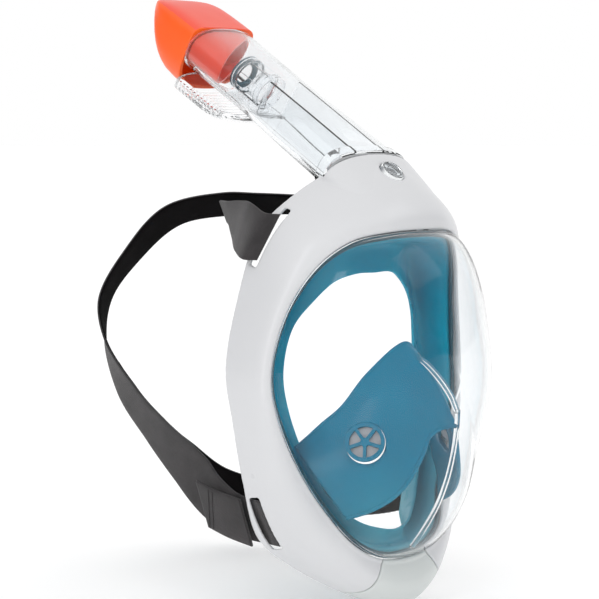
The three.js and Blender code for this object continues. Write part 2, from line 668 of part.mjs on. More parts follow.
/** A band along hand-laid points, each with the direction of its width. */
function band(route, steps, width = STRAP_WIDTH) {
  const line = new THREE.CatmullRomCurve3(route.map(([p]) => point(p)));
  const widths = new THREE.CatmullRomCurve3(route.map(([, w]) => point(w)));
  const grid = [];
  for (let i = 0; i <= steps; i += 1) {
    const u = THREE.MathUtils.lerp(BAND_TRIM, 1 - BAND_TRIM, i / steps);
    const p = line.getPoint(u);
    const side = widths.getPoint(u).normalize().multiplyScalar(width / 2);
    grid.push([p.clone().sub(side), p.clone().add(side)]);
  }
  return sheet(grid, STRAP_THICKNESS);
}

const CROWN = [[-24, 96, 97], [-0.7, -0.53, 0.48]];
const NAPE = [[-54, 178, 8], [-0.63, -0.77, 0.12]];
const STRAP_ROUTES = {
  shoulder_strap_right: [
    [[-69.6, 10.3, 81.5], [0.42, -0.22, 0.88]], [[-74.6, 16.5, 82], [0.42, -0.2, 0.88]],
    [[-70, 30, 86], [0.2, -0.25, 0.92]], [[-57, 50, 89.5], [-0.25, -0.5, 0.75]],
    [[-42, 74, 92.5], [-0.6, -0.55, 0.5]], [[-27, 94, 92.8], [-0.7, -0.53, 0.48]],
  ],
  shoulder_strap_left: [
    [[69.6, 10.3, 81.5], [-0.42, -0.22, 0.88]], [[74.6, 16.5, 82], [-0.42, -0.2, 0.88]],
    [[62, 42, 91], [-0.5, -0.3, 0.8]],
    [[20, 60, 96], [-0.67, -0.63, 0.4]], [[-16, 76, 97.5], [-0.66, -0.6, 0.45]], CROWN,
  ],
  back_strap: [
    CROWN, [[-44, 122, 90], [-0.81, -0.44, 0.4]], [[-51, 154, 64], [-0.85, -0.49, 0.21]],
    [[-55, 177, 34], [-0.8, -0.59, 0.1]], NAPE,
  ],
  jaw_strap_right: [
    NAPE, [[-58, 152, -22], [-0.31, -0.9, 0.31]], [[-68, 112, -42], [-0.19, -0.86, 0.47]],
    [[-77, 72, -59], [0.02, -0.75, 0.65]], [[-79, 46, -75], [-0.05, -0.3, 0.95]],
    [[-76.5, 26, -82], [-0.28, 0.05, 0.95]], [[-72.8, 12.5, -84.3], [-0.4, 0.12, 0.9]],
    [[-74.2, 5.5, -84], [-0.4, 0.12, 0.9]],
  ],
  jaw_strap_left: [
    [[74.2, 5.5, -84], [0.4, 0.12, 0.9]], [[72.8, 12.5, -84.3], [0.4, 0.12, 0.9]],
    [[77.5, 28, -86], [0.28, 0.1, 0.95]], [[83, 62, -94], [0.27, -0.05, 0.95]],
    [[80, 120, -106], [0.25, -0.3, 0.9]], [[60, 160, -106], [0.2, -0.6, 0.75]],
    [[34, 172, -94], [0.1, -0.8, 0.6]], [[5, 171, -73], [-0.03, -0.84, 0.55]],
    [[-22, 170, -50], [-0.27, -0.86, 0.43]], [[-39, 170, -29], [-0.41, -0.87, 0.28]],
    [[-49, 173, -1], [-0.6, -0.79, 0.14]],
  ],
};
Object.entries(STRAP_ROUTES).forEach(([name, route]) => add(name, band(route, 22), WEBBING));

/** The folded end of a jaw strap, sewn on its outside behind the frame's rear edge. */
function strapTail(side) {
  const points = side < 0 ? [[80.8, 18, -84.5], [83.5, 34, -81.5], [84.4, 51, -77.5]]
    : [[80.5, 18, -84.5], [84, 34, -87], [87, 50, -91]];
  return band(points.map(([x, y, z]) => [[side * x, y, z], [side * 0.26, 0.08, 0.95]]), 6);
}
add('jaw_strap_tail_right', strapTail(-1), WEBBING);
add('jaw_strap_tail_left', strapTail(1), WEBBING);

export default group;
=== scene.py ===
"""Full face snorkel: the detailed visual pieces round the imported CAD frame.

Lengths in this script are in millimetres and are turned into metres as each mesh is made. The wearer
looks along -Y, +X is the wearer's left and +Z is up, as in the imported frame.
"""

import math

import bmesh
import bpy
import numpy as np
from mathutils import Matrix, Vector


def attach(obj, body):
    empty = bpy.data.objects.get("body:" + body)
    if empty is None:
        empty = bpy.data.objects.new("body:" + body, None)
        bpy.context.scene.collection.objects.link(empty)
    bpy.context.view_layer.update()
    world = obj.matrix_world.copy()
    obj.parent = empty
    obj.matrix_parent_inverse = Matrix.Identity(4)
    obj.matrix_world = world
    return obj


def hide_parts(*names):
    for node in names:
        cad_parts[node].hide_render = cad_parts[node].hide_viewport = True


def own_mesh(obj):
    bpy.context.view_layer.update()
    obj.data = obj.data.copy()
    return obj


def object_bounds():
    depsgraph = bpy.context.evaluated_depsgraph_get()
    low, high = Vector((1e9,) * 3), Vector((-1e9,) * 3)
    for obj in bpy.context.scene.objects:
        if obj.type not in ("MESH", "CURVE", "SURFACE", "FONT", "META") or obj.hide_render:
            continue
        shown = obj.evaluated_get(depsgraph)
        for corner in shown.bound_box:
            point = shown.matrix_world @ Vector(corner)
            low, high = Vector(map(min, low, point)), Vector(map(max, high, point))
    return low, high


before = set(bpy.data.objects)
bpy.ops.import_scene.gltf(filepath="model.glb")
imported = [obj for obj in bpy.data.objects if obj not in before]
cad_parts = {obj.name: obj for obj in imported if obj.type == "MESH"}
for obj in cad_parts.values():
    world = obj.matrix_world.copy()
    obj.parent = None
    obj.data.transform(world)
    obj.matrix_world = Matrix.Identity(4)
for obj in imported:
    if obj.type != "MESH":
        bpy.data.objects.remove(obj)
CAD_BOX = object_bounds()
MM = 0.001

# ------------------------------------------------------------------ driving dimensions

GAP = 0.3
FRAME_WALL = 2.5
VISOR_WALL = 2.4
VISOR_APEX = np.array([0.0, -77.0, 0.0])
VISOR_FULLNESS = 1.27
SKIRT_WALL = 1.8
SKIRT_FLANGE = 4.8
POCKET_WALL = 2.0

# Half of the rim, from the forehead to the chin: visor edge, control point of the bulging wall,
# rear edge, and edge of the face opening.
STATIONS = (
    ((0, -45, 85), (0, -50, 101), (0, -9, 128.5), (0, -7, 58)),
    ((24, -41.5, 84), (23, -46.5, 101), (21, -6, 125), (14, -6, 58)),
    ((44, -31.5, 79.5), (47, -34, 98), (47, 9, 108), (27, -1, 54)),
    ((60, -20, 66), (68, -22, 80), (68, 19, 87), (41, 3, 43)),
    ((74, -8.5, 39), (83, -10, 43), (83, 25, 41), (52, 9, 28)),
    ((82, -4, 4), (91.5, -4, 4), (90, 26, 4), (57, 12, 2)),
    ((79, -6.5, -22), (91, -7, -24), (90, 20.5, -24), (56, 8, -22)),
    ((66, -11, -53), (86, -12, -59), (86, 16, -60), (49, 0, -50)),
    ((51, -19, -79), (74, -20, -90), (76, 14, -94), (38, -9, -73)),
    ((38, -28, -97), (57, -31, -110), (59, 6, -111), (24, -17, -86)),
    ((20, -32, -107), (29, -45, -131), (30, -12, -130), (12, -23, -91)),
    ((0, -34, -109), (0, -50, -140), (0, -20, -140), (0, -25, -93)),
)
RIM_STEPS = 208

TUBE_FOOT = np.array([0.0, 7.0, 121.4])
TUBE_LEAN = math.radians(30)
ALONG = np.array([0.0, math.cos(TUBE_LEAN), math.sin(TUBE_LEAN)])
ACROSS = np.array([0.0, -math.sin(TUBE_LEAN), math.cos(TUBE_LEAN)])
SIDE = np.array([1.0, 0.0, 0.0])
RIM_S = -10.5  # the neck's rim, along the tube's axis
SEAM = 141.0  # where the cap meets the head

BUTTON_CENTRE = np.array([0.0, -22.0, 118.4])
BUTTON_SLOPE = math.radians(43)
BUTTON_AXIS = np.array([0.0, -math.sin(BUTTON_SLOPE), math.cos(BUTTON_SLOPE)])

STRAP_WIDTH = 30.0
STRAP_THICKNESS = 1.9

# ------------------------------------------------------------------ curves


def spline(points, u, closed=False):
    """Centripetal Catmull-Rom curve through points, at parameters u from 0 to 1."""
    points = np.asarray(points, float)
    count = len(points)
    spans = count if closed else count - 1
    out = []
    for value in np.atleast_1d(u):
        place = min(max(value, 0.0), 1.0) * spans
        if closed:
            place %= count
        index = min(int(place), spans - 1)
        weight = place - index
        if closed:
            p0, p1, p2, p3 = (points[(index + k) % count] for k in (-1, 0, 1, 2))
        else:
            p1, p2 = points[index], points[index + 1]
            p0 = points[index - 1] if index > 0 else 2 * p1 - p2
            p3 = points[index + 2] if index + 2 < count else 2 * p2 - p1
        d0, d1, d2 = (max(np.linalg.norm(b - a), 1e-6) ** 0.5 for a, b in ((p0, p1), (p1, p2), (p2, p3)))
        t1 = ((p1 - p0) / d0 - (p2 - p0) / (d0 + d1) + (p2 - p1) / d1) * d1
        t2 = ((p2 - p1) / d1 - (p3 - p1) / (d1 + d2) + (p3 - p2) / d2) * d1
        w2, w3 = weight**2, weight**3
        out.append(p1 * (2 * w3 - 3 * w2 + 1) + t1 * (w3 - 2 * w2 + weight)
                   + p2 * (3 * w2 - 2 * w3) + t2 * (w3 - w2))
    return np.array(out)


def unit(v):
    return v / np.linalg.norm(v, axis=-1, keepdims=True)


class Rim:
    """The curves round the mask at RIM_STEPS places, and the outward direction at each."""

    def __init__(self, steps):
        half = np.array(STATIONS, float)
        other = half[1:-1][::-1].copy()
        other[:, :, 0] *= -1
        full = np.concatenate([half, other])
        u = np.arange(steps) / steps
        self.visor, self.bulge, self.rear, self.face = (spline(full[:, k], u, True) for k in range(4))
        ahead = spline(full[:, 0], (u + 1e-3) % 1, True)
        behind = spline(full[:, 0], (u - 1e-3) % 1, True)
        tangent = ahead - behind
        out = np.stack([tangent[:, 2], np.zeros(steps), -tangent[:, 0]], 1)
        flip = np.sum(out * self.visor * [1, 0, 1], 1) < 0
        out[flip] *= -1
        self.out = unit(out)

    def off(self, base, outwards, back):
        """A base curve moved so far outwards and so far back."""
        return base + self.out * outwards + np.array([0, 1, 0]) * back


RIM = Rim(RIM_STEPS)


def on_tube(s, t, x=0.0):
    """The place s along the tube from its collar, t towards its front, x to the side."""
    s, t, x = (np.asarray(v, float)[..., None] for v in (s, t, x))
    return TUBE_FOOT + ALONG * s + ACROSS * t + SIDE * x


# ------------------------------------------------------------------ meshes


def make_object(name, points, faces, material, smooth=True):
    """An object from points in millimetres."""
    mesh = bpy.data.meshes.new(name)
    mesh.from_pydata((np.asarray(points) * MM).tolist(), [], faces)
    mesh.validate()
    obj = bpy.data.objects.new(name, mesh)
    bpy.context.scene.collection.objects.link(obj)
    clean = bmesh.new()
    clean.from_mesh(mesh)
    bmesh.ops.recalc_face_normals(clean, faces=clean.faces)
    clean.to_mesh(mesh)
    clean.free()
    mesh.materials.append(material)
    mesh.shade_smooth() if smooth else mesh.shade_flat()
    return obj


def strip_faces(rows, columns, loop_rows=False, loop_columns=False):
    """The quads of a grid of points."""
    faces = []
    for i in range(rows if loop_rows else rows - 1):
        for j in range(columns if loop_columns else columns - 1):
            a, b = i * columns, (i + 1) % rows * columns
            k = (j + 1) % columns
            faces.append((a + j, a + k, b + k, b + j))
    return faces


def loft(name, rings, material, looped=False):
    """A closed object through rings of points, capped unless it is looped."""
    rings = np.asarray(rings)
    rows, columns = rings.shape[:2]
    faces = strip_faces(rows, columns, looped, True)
    if not looped:
        faces.append(tuple(range(columns)))
        faces.append(tuple(range((rows - 1) * columns, rows * columns)))
    return make_object(name, rings.reshape(-1, 3), faces, material)


def rim_loft(name, section, material):
    """A looped object whose section is a list of curves round the rim."""
    rings = np.stack(section, 1)
    return loft(name, rings, material, looped=True)


def grid_sheet(name, grid, thickness, material):
    """A closed sheet of even thickness through a grid of points."""
    grid = np.asarray(grid)
    rows, columns = grid.shape[:2]
    down = np.gradient(grid, axis=0)
    over = np.gradient(grid, axis=1)
    normal = unit(np.cross(down, over))
    top, bottom = grid + normal * thickness / 2, grid - normal * thickness / 2
    faces = strip_faces(rows, columns)
    half = rows * columns
    faces += [tuple(half + v for v in reversed(face)) for face in faces]
    border = [j for j in range(columns - 1)]
    border += [i * columns + columns - 1 for i in range(rows - 1)]
    border += [(rows - 1) * columns + j for j in range(columns - 1, 0, -1)]
    border += [i * columns for i in range(rows - 1, 0, -1)]
    faces += [(a, b, half + b, half + a) for a, b in zip(border, border[1:] + border[:1])]
    points = np.concatenate([top.reshape(-1, 3), bottom.reshape(-1, 3)])
    return make_object(name, points, faces, material)


def apply_modifiers(obj):
    """Bakes an object's modifiers into its mesh."""
    graph = bpy.context.evaluated_depsgraph_get()
    mesh = bpy.data.meshes.new_from_object(obj.evaluated_get(graph))
    obj.modifiers.clear()
    old = obj.data
    obj.data = mesh
    mesh.name = old.name
    bpy.data.meshes.remove(old)
    return obj


def combine(target, others, operation, crossing=False):
    """Joins, cuts or intersects an object with others, which are then removed.

    crossing is for a target whose own surface crosses itself, as the frame's does under its neck.
    """
    for other in others:
        modifier = target.modifiers.new("combine", "BOOLEAN")
        modifier.operation = operation
        modifier.solver = "EXACT"
        modifier.object = other
        modifier.use_self = crossing
    apply_modifiers(target)
    for other in others:
        bpy.data.objects.remove(other)
    return target


def duplicate(obj, name):
    copy = bpy.data.objects.new(name, obj.data.copy())
    bpy.context.scene.collection.objects.link(copy)
    return copy


def soften(obj, voxel, rounds):
    """Remeshes at a voxel size in millimetres and smooths, which rounds edges as moulding does."""
    remesh = obj.modifiers.new("remesh", "REMESH")
    remesh.mode = "VOXEL"
    remesh.voxel_size = voxel * MM
    remesh.use_smooth_shade = True
    smooth = obj.modifiers.new("smooth", "SMOOTH")
    smooth.factor = 0.5
    smooth.iterations = rounds
    return apply_modifiers(obj)


def add_modifier(obj, kind, **values):
    modifier = obj.modifiers.new(kind.lower(), kind)
    for key, value in values.items():
        setattr(modifier, key, value)
    return modifier


def round_edges(obj, width, segments=3, angle=35):
    """Bevels the sharp edges by a width in millimetres and shades the rest smooth."""
    add_modifier(obj, "BEVEL", width=width * MM, segments=segments, limit_method="ANGLE",
                 angle_limit=math.radians(angle), harden_normals=True)
    return obj


def basis(centre, axis, turn=0.0):
    """A matrix that puts +Z along axis, with its origin at a centre in millimetres."""
    rotation = Vector((0, 0, 1)).rotation_difference(Vector(axis)).to_matrix().to_4x4()
    return Matrix.Translation(Vector(centre) * MM) @ rotation @ Matrix.Rotation(turn, 4, "Z")


def lathe(name, profile, centre, axis, material, sides=48):
    """A turned object from (radius, height) pairs that start and end on the axis or close."""
    profile = np.asarray(profile, float)
    angles = np.arange(sides) * 2 * math.pi / sides
    closed = profile[0][0] > 0
    rings = np.stack([
        np.stack([r * np.cos(angles), r * np.sin(angles), np.full(sides, h)], 1) for r, h in profile
    ])
    if closed:
        obj = loft(name, rings, material, looped=True)
    else:
        inner = rings[1:-1]
        count = len(inner)
        faces = strip_faces(count, sides, False, True)
        points = np.concatenate([inner.reshape(-1, 3), [[0, 0, profile[0][1]], [0, 0, profile[-1][1]]]])
        first, last = count * sides, count * sides + 1
        for j in range(sides):
            k = (j + 1) % sides
            faces.append((first, k, j))
            faces.append((last, (count - 1) * sides + j, (count - 1) * sides + k))
        obj = make_object(name, points, faces, material)
    obj.data.transform(basis(centre, axis))
    return obj


def place(obj, body, nodes=(), slot=None):
    """Makes a piece ride on a body and stand for CAD nodes."""
    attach(obj, body)
    if nodes:
        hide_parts(*nodes)
    return obj


# ------------------------------------------------------------------ materials


class Nodes:
    """A material's node tree with short calls for the nodes used here."""

    def __init__(self, name):
        self.material = bpy.data.materials.new(name)
        self.material.use_nodes = True
        self.tree = self.material.node_tree
        self.shader = self.tree.nodes["Principled BSDF"]
        self.output = self.tree.nodes["Material Output"]

    def add(self, kind, inputs=None, **values):
        node = self.tree.nodes.new(kind)
        for key, value in values.items():
            setattr(node, key, value)
        for key, value in (inputs or {}).items():
            self.feed(value, node.inputs[key])
        return node

    def feed(self, value, socket):
        if isinstance(value, bpy.types.NodeSocket):
            self.tree.links.new(value, socket)
        else:
            socket.default_value = value

    def set(self, **values):
        for key, value in values.items():
            self.feed(value, self.shader.inputs[key.replace("_", " ")])

    def place(self):
        return self.add("ShaderNodeTexCoord").outputs["Object"]

    def noise(self, scale, detail=3.0, where=None, roughness=0.5):
        inputs = {"Scale": scale, "Detail": detail, "Roughness": roughness}
        inputs["Vector"] = where or self.place()
        return self.add("ShaderNodeTexNoise", inputs).outputs["Fac"]

    def ramp(self, value, low, high, colours):
        """Maps a value between low and high to a run of colours."""
        node = self.add("ShaderNodeValToRGB", {"Fac": value})
        ends = node.color_ramp.elements
        ends[0].position, ends[1].position = low, high
        ends[0].color, ends[1].color = (*colours[0], 1), (*colours[-1], 1)
        for k, colour in enumerate(colours[1:-1], 1):
            middle = ends.new(low + (high - low) * k / (len(colours) - 1))
            middle.color = (*colour, 1)
        return node.outputs["Color"]

    def span(self, value, low, high, to_low, to_high):
        inputs = {"Value": value, "From Min": low, "From Max": high, "To Min": to_low, "To Max": to_high}
        return self.add("ShaderNodeMapRange", inputs).outputs["Result"]

    def math(self, operation, a, b=0.0):
        return self.add("ShaderNodeMath", {0: a, 1: b}, operation=operation).outputs[0]

    def mix(self, factor, a, b):
        node = self.add("ShaderNodeMix", data_type="RGBA")
        self.feed(factor, node.inputs[0])
        self.feed(a, node.inputs[6])
        self.feed(b, node.inputs[7])
        return node.outputs[2]

    def bump(self, height, strength, distance, after=None):
        inputs = {"Height": height, "Strength": strength, "Distance": distance}
        if after:
            inputs["Normal"] = after
        return self.add("ShaderNodeBump", inputs).outputs["Normal"]


def moulded(name, colour, colour_two, roughness, coat=0.0, grain=0.02, subsurface=0.0):
    """Moulded plastic: slight colour drift, a fine skin and patches of finer and coarser gloss."""
    n = Nodes(name)
    drift = n.noise(14.0, 2.0)
    n.set(Base_Color=n.ramp(drift, 0.3, 0.7, [colour, colour_two]))
    patches = n.noise(60.0, 5.0)
    n.set(Roughness=n.span(patches, 0.1, 0.9, roughness * 0.85, roughness * 1.15))
    skin = n.noise(2600.0, 2.0)
    n.set(Normal=n.bump(skin, grain, 0.0002))
    n.shader.inputs["Coat Weight"].default_value = coat
    n.shader.inputs["Coat Roughness"].default_value = 0.08
    if subsurface:
        n.shader.inputs["Subsurface Weight"].default_value = subsurface
        n.shader.inputs["Subsurface Scale"].default_value = 0.004
        n.shader.inputs["Subsurface Radius"].default_value = (1.0, 0.5, 0.4)
    return n.material


def clear(name, tint, roughness, ior=1.45, haze=0.0):
    """Clear plastic that lets lamps through, with faint swirls in its gloss."""
    n = Nodes(name)
    n.shader.inputs["Base Color"].default_value = (*tint, 1)
    n.shader.inputs["Transmission Weight"].default_value = 1.0 - haze
    n.shader.inputs["IOR"].default_value = ior
    swirl = n.noise(45.0, 4.0)
    n.set(Roughness=n.span(swirl, 0.35, 0.7, roughness * 0.6, roughness * 1.6))
    wave = n.noise(90.0, 1.0)
    n.set(Normal=n.bump(wave, 0.04, 0.0004))
    path = n.add("ShaderNodeLightPath")
    see_through = n.add("ShaderNodeBsdfTransparent", {"Color": (*tint, 1)})
    mixed = n.add("ShaderNodeMixShader", {
        0: path.outputs["Is Shadow Ray"], 1: n.shader.outputs[0], 2: see_through.outputs[0],
    })
    n.tree.links.new(mixed.outputs[0], n.output.inputs["Surface"])
    return n.material


def silicone(name, colour, deep, pale, roughness=0.3):
    """Satin silicone, paler and hazier towards the chin where it is thin."""
    n = Nodes(name)
    where = n.place()
    split = n.add("ShaderNodeSeparateXYZ", {"Vector": where})
    drift = n.noise(22.0, 3.0, where)
    base = n.ramp(drift, 0.3, 0.7, [deep, colour])
    low = n.span(split.outputs["Z"], -0.045, -0.098, 0.0, 1.0)
    cloud = n.math("MULTIPLY", low, n.span(n.noise(30.0, 2.0, where), 0.3, 0.7, 0.55, 1.0))
    n.set(Base_Color=n.mix(cloud, base, (*pale, 1)))
    n.set(Roughness=n.span(n.noise(80.0, 4.0, where), 0.3, 0.7, roughness * 0.8, roughness * 1.3))
    n.set(Normal=n.bump(n.noise(1500.0, 2.0, where), 0.03, 0.0002))
    n.shader.inputs["Subsurface Weight"].default_value = 0.12
    n.shader.inputs["Subsurface Scale"].default_value = 0.003
    n.shader.inputs["Subsurface Radius"].default_value = (0.3, 1.0, 1.2)
    n.shader.inputs["Specular IOR Level"].default_value = 0.1
    n.shader.inputs["Coat Weight"].default_value = 0.08
    n.shader.inputs["Coat Roughness"].default_value = 0.12
    return n.material


def webbing(name, colour, pale, inner=1.0):
    """Woven elastic: ribs across the band, threads along it, and a soft fuzz. The inner argument scales its
    gloss and sheen; the inner side's copy takes a small share, which with its near-black colour is a painted
    shade.
    """
    n = Nodes(name)
    coords = n.add("ShaderNodeUVMap").outputs["UV"]
    split = n.add("ShaderNodeSeparateXYZ", {"Vector": coords})
    across, along = split.outputs["X"], split.outputs["Y"]
    thread = n.math("SINE", n.math("MULTIPLY", across, 2 * math.pi / 0.0009))
    rib = n.math("SINE", n.math("MULTIPLY", along, 2 * math.pi / 0.0013))
    weave = n.math("MULTIPLY", thread, rib)
    fuzz = n.noise(900.0, 4.0, coords)
    wear = n.noise(70.0, 3.0, coords)
    shade = n.math("ADD", n.math("MULTIPLY", weave, 0.3), n.math("ADD", n.math("MULTIPLY", fuzz, 0.5), wear))
    base = n.ramp(n.span(shade, 0.4, 1.1, 0.0, 1.0), 0.0, 1.0, [colour, pale])
    n.set(Base_Color=base)
    n.shader.inputs["Roughness"].default_value = 0.85
    n.shader.inputs["Specular IOR Level"].default_value = 0.4 * inner
    n.shader.inputs["Sheen Weight"].default_value = 0.22 * inner
    n.shader.inputs["Sheen Roughness"].default_value = 0.5
    height = n.math("ADD", weave, n.math("MULTIPLY", fuzz, 0.7))
    n.set(Normal=n.bump(height, 0.5, 0.00025))
    return n.material


def metal(name, colour, roughness):
    n = Nodes(name)
    n.shader.inputs["Metallic"].default_value = 1.0
    n.set(Base_Color=n.ramp(n.noise(400.0), 0.3, 0.7, [colour, [c * 0.8 for c in colour]]))
    n.set(Roughness=n.span(n.noise(700.0, 4.0), 0.3, 0.7, roughness * 0.7, roughness * 1.4))
    return n.material


WHITE = moulded("white_plastic", (0.64, 0.645, 0.66), (0.66, 0.665, 0.68), 0.3, coat=0.2)
CHIN_GREY = moulded("chin_plastic", (0.61, 0.64, 0.63), (0.63, 0.66, 0.65), 0.32, coat=0.2)
TEAL = silicone("teal_silicone", (0.0, 0.36, 0.51), (0.0, 0.28, 0.42), (0.14, 0.46, 0.55))
POCKET_TEAL = silicone("pocket_silicone", (0.0, 0.195, 0.32), (0.0, 0.16, 0.275), (0.03, 0.27, 0.37), 0.16)
SEAL = moulded("seal_silicone", (0.012, 0.07, 0.1), (0.02, 0.09, 0.125), 0.3)
VALVE_GREY = moulded("valve_silicone", (0.36, 0.36, 0.38), (0.42, 0.42, 0.44), 0.4)
CLEAR_VISOR = clear("clear_visor", (0.985, 0.995, 1.0), 0.02, 1.33)
CLEAR_KEEL = clear("clear_keel", (0.97, 0.985, 0.99), 0.04, 1.45)
CLEAR_TUBE = clear("clear_tube", (0.95, 0.965, 0.975), 0.05)
CLEAR_HOOD = clear("clear_hood", (0.97, 0.975, 0.98), 0.08, 1.2)
GASKET = moulded("socket_gasket", (0.3, 0.31, 0.32), (0.36, 0.37, 0.38), 0.35)
CLEAR_BUTTON = clear("clear_button", (0.9, 0.92, 0.93), 0.05)
ORANGE = moulded("cap_orange", (1.0, 0.1, 0.004), (1.0, 0.13, 0.008), 0.35, subsurface=0.25)
# The cap's front-facing faces: the orange painted duller and redder, a painted shade.
CAP_FRONT_PAINTED_SHADE = moulded("cap_front_painted_shade", (0.87, 0.075, 0.04), (0.9, 0.09, 0.045), 0.35, subsurface=0.2)
CORAL = moulded("insert_coral", (0.87, 0.07, 0.035), (0.9, 0.09, 0.045), 0.4, subsurface=0.2)
WEBBING = webbing("elastic_webbing", (0.012, 0.0105, 0.0115), (0.045, 0.04, 0.042))
# The band's inner side: the same webbing painted near black with dimmed gloss, a painted shade of the side
# that faces the head.
WEBBING_PAINTED_SHADE = webbing("elastic_inner_painted_shade", (0.002, 0.0015, 0.0018), (0.006, 0.005, 0.0055), 0.05)
CAGE = clear("clear_cage", (0.95, 0.96, 0.97), 0.12, 1.3)
FLOAT_WHITE = clear("clear_float", (0.93, 0.94, 0.95), 0.25, 1.25)
THREAD = moulded("sewing_thread", (0.012, 0.01, 0.011), (0.03, 0.026, 0.028), 0.7)
STEEL = metal("steel", (0.62, 0.63, 0.65), 0.28)

# ------------------------------------------------------------------ camera, light and floor


def stage():
    """A pale floor under a bright even sky, a tall soft lamp and a wide one, and the camera."""
    scene = bpy.context.scene
    world = bpy.data.worlds.new("studio")
    scene.world = world
    world.use_nodes = True
    tree = world.node_tree
    back = tree.nodes["Background"]
    direction = tree.nodes.new("ShaderNodeTexCoord").outputs["Generated"]
    sideways = tree.nodes.new("ShaderNodeVectorMath")
    sideways.operation = "DOT_PRODUCT"
    sideways.inputs[1].default_value = (math.sqrt(0.5), -math.sqrt(0.5), 0)
    tree.links.new(direction, sideways.inputs[0])
    size = tree.nodes.new("ShaderNodeMath")
    size.operation = "ABSOLUTE"
    tree.links.new(sideways.outputs["Value"], size.inputs[0])
    shades = tree.nodes.new("ShaderNodeValToRGB")
    shades.color_ramp.elements[0].position = 0.72
    shades.color_ramp.elements[0].color = (1, 1, 1, 1)
    shades.color_ramp.elements[1].position = 0.95
    shades.color_ramp.elements[1].color = (0.3, 0.31, 0.33, 1)
    tree.links.new(size.outputs[0], shades.inputs["Fac"])
    white = tree.nodes.new("ShaderNodeMix")
    white.data_type = "RGBA"
    tree.links.new(tree.nodes.new("ShaderNodeLightPath").outputs["Is Camera Ray"], white.inputs[0])
    tree.links.new(shades.outputs["Color"], white.inputs[6])
    white.inputs[7].default_value = (1, 1, 1, 1)
    tree.links.new(white.outputs[2], back.inputs["Color"])
    back.inputs["Strength"].default_value = 1.0
    scene.view_settings.view_transform = "Standard"

    floor_mesh = bpy.data.meshes.new("floor")
    low = float(CAD_BOX[0][2]) - 0.002
    reach = 30.0
    corners = [(-reach, -reach, low), (reach, -reach, low), (reach, reach, low), (-reach, reach, low)]
    floor_mesh.from_pydata(corners, [], [(0, 1, 2, 3)])
    floor = bpy.data.objects.new("floor", floor_mesh)
    scene.collection.objects.link(floor)
    n = Nodes("pale_floor")
    n.set(Base_Color=n.ramp(n.noise(3.0), 0.3, 0.7, [(0.95, 0.95, 0.95), (0.97, 0.97, 0.97)]))
    n.shader.inputs["Roughness"].default_value = 0.9
    n.shader.inputs["Emission Color"].default_value = (1, 1, 1, 1)
    n.shader.inputs["Emission Strength"].default_value = 0.14
    floor_mesh.materials.append(n.material)

    def lamp(name, azimuth, height, distance, size, power):
        data = bpy.data.lights.new(name, "AREA")
        data.shape = "RECTANGLE"
        data.size, data.size_y = size
        data.energy = power
        obj = bpy.data.objects.new(name, data)
        angle = math.radians(azimuth)
        spot = Vector((distance * math.sin(angle), -distance * math.cos(angle), height))
        obj.location = spot
        obj.rotation_euler = (Vector((0, 0, 0.02)) - spot).to_track_quat("-Z", "Y").to_euler()
        scene.collection.objects.link(obj)

    lamp("tall_softbox", -75, 0.5, 1.5, (0.3, 1.4), 3)
    lamp("wide_softbox", 30, 1.4, 1.5, (1.4, 1.0), 3)

    data = bpy.data.cameras.new("camera")
    camera = bpy.data.objects.new("camera", data)
    scene.collection.objects.link(camera)
    azimuth, elevation = math.radians(-45), math.radians(5)
    back_axis = Vector((math.sin(azimuth) * math.cos(elevation), -math.cos(azimuth) * math.cos(elevation),
                        math.sin(elevation)))
    camera.location = (-0.8349, -0.7801, 0.1418)
    camera.rotation_euler = (-back_axis).to_track_quat("-Z", "Y").to_euler()
    data.lens = 115.1
    data.sensor_width = 36
    scene.camera = camera


stage()

# ------------------------------------------------------------------ frame and chin cover


def frame_sections():
    """The frame wall's outer line from the lip to the rear edge, then its inner line back."""
    lip = RIM.off(RIM.visor, 2.6, -1.5)
    start = RIM.off(RIM.visor, GAP, -1.2)
    bead = lip + (RIM.off(RIM.visor, GAP, -3) - lip) * 0.35
    steps = 14
    outer, inner = [start, bead], [RIM.off(RIM.visor, GAP, 2.2)]
    side = unit(RIM.visor * [1, 0, 1])

    def wall(u):
        return lip * (1 - u) ** 2 + RIM.bulge * 2 * u * (1 - u) + RIM.rear * u**2

    for k in range(steps + 1):
        u = k / steps
        along = wall(min(1, u + 0.01)) - wall(max(0, u - 0.01))
        rise = np.sum(side * along, 1, keepdims=True)
        normal = unit(side * along[:, 1:2] - np.array([0, 1, 0]) * rise)
        outer.append(wall(u))
        if k > 0:
            inner.append(wall(u) - normal * FRAME_WALL)
    return outer + inner[::-1]


def tube_ring(s, half_width, front, back, squareness=2.8, sides=64):
    """A rounded section across the tube between a front and a back."""
    angle = np.arange(sides) * 2 * math.pi / sides
    c, w = np.cos(angle), np.sin(angle)
    x = half_width * np.sign(c) * np.abs(c) ** (2 / squareness)
    t = (front + back) / 2 + (front - back) / 2 * np.sign(w) * np.abs(w) ** (2 / squareness)
    return on_tube(np.full(sides, s), t, x)


def tube_loft(name, rows, material):
    return loft(name, [tube_ring(*row) for row in rows], material)


def block(name, centre, size, turn=0.0):
    """A plain cutting block, turned about X."""
    half = np.array(size) / 2
    signs = np.array([(x, y, z) for x in (-1, 1) for y in (-1, 1) for z in (-1, 1)])
    points = signs * half
    cos, sin = math.cos(turn), math.sin(turn)
    points = points @ np.array([[1, 0, 0], [0, cos, sin], [0, -sin, cos]]) + np.array(centre)
    faces = [(0, 1, 3, 2), (4, 6, 7, 5), (0, 4, 5, 1), (2, 3, 7, 6), (0, 2, 6, 4), (1, 5, 7, 3)]
    return make_object(name, points, faces, WHITE, smooth=False)


CHIN_OUTLINE = ((12, -100), (36, -132), (36, -170))  # half, seen from the front


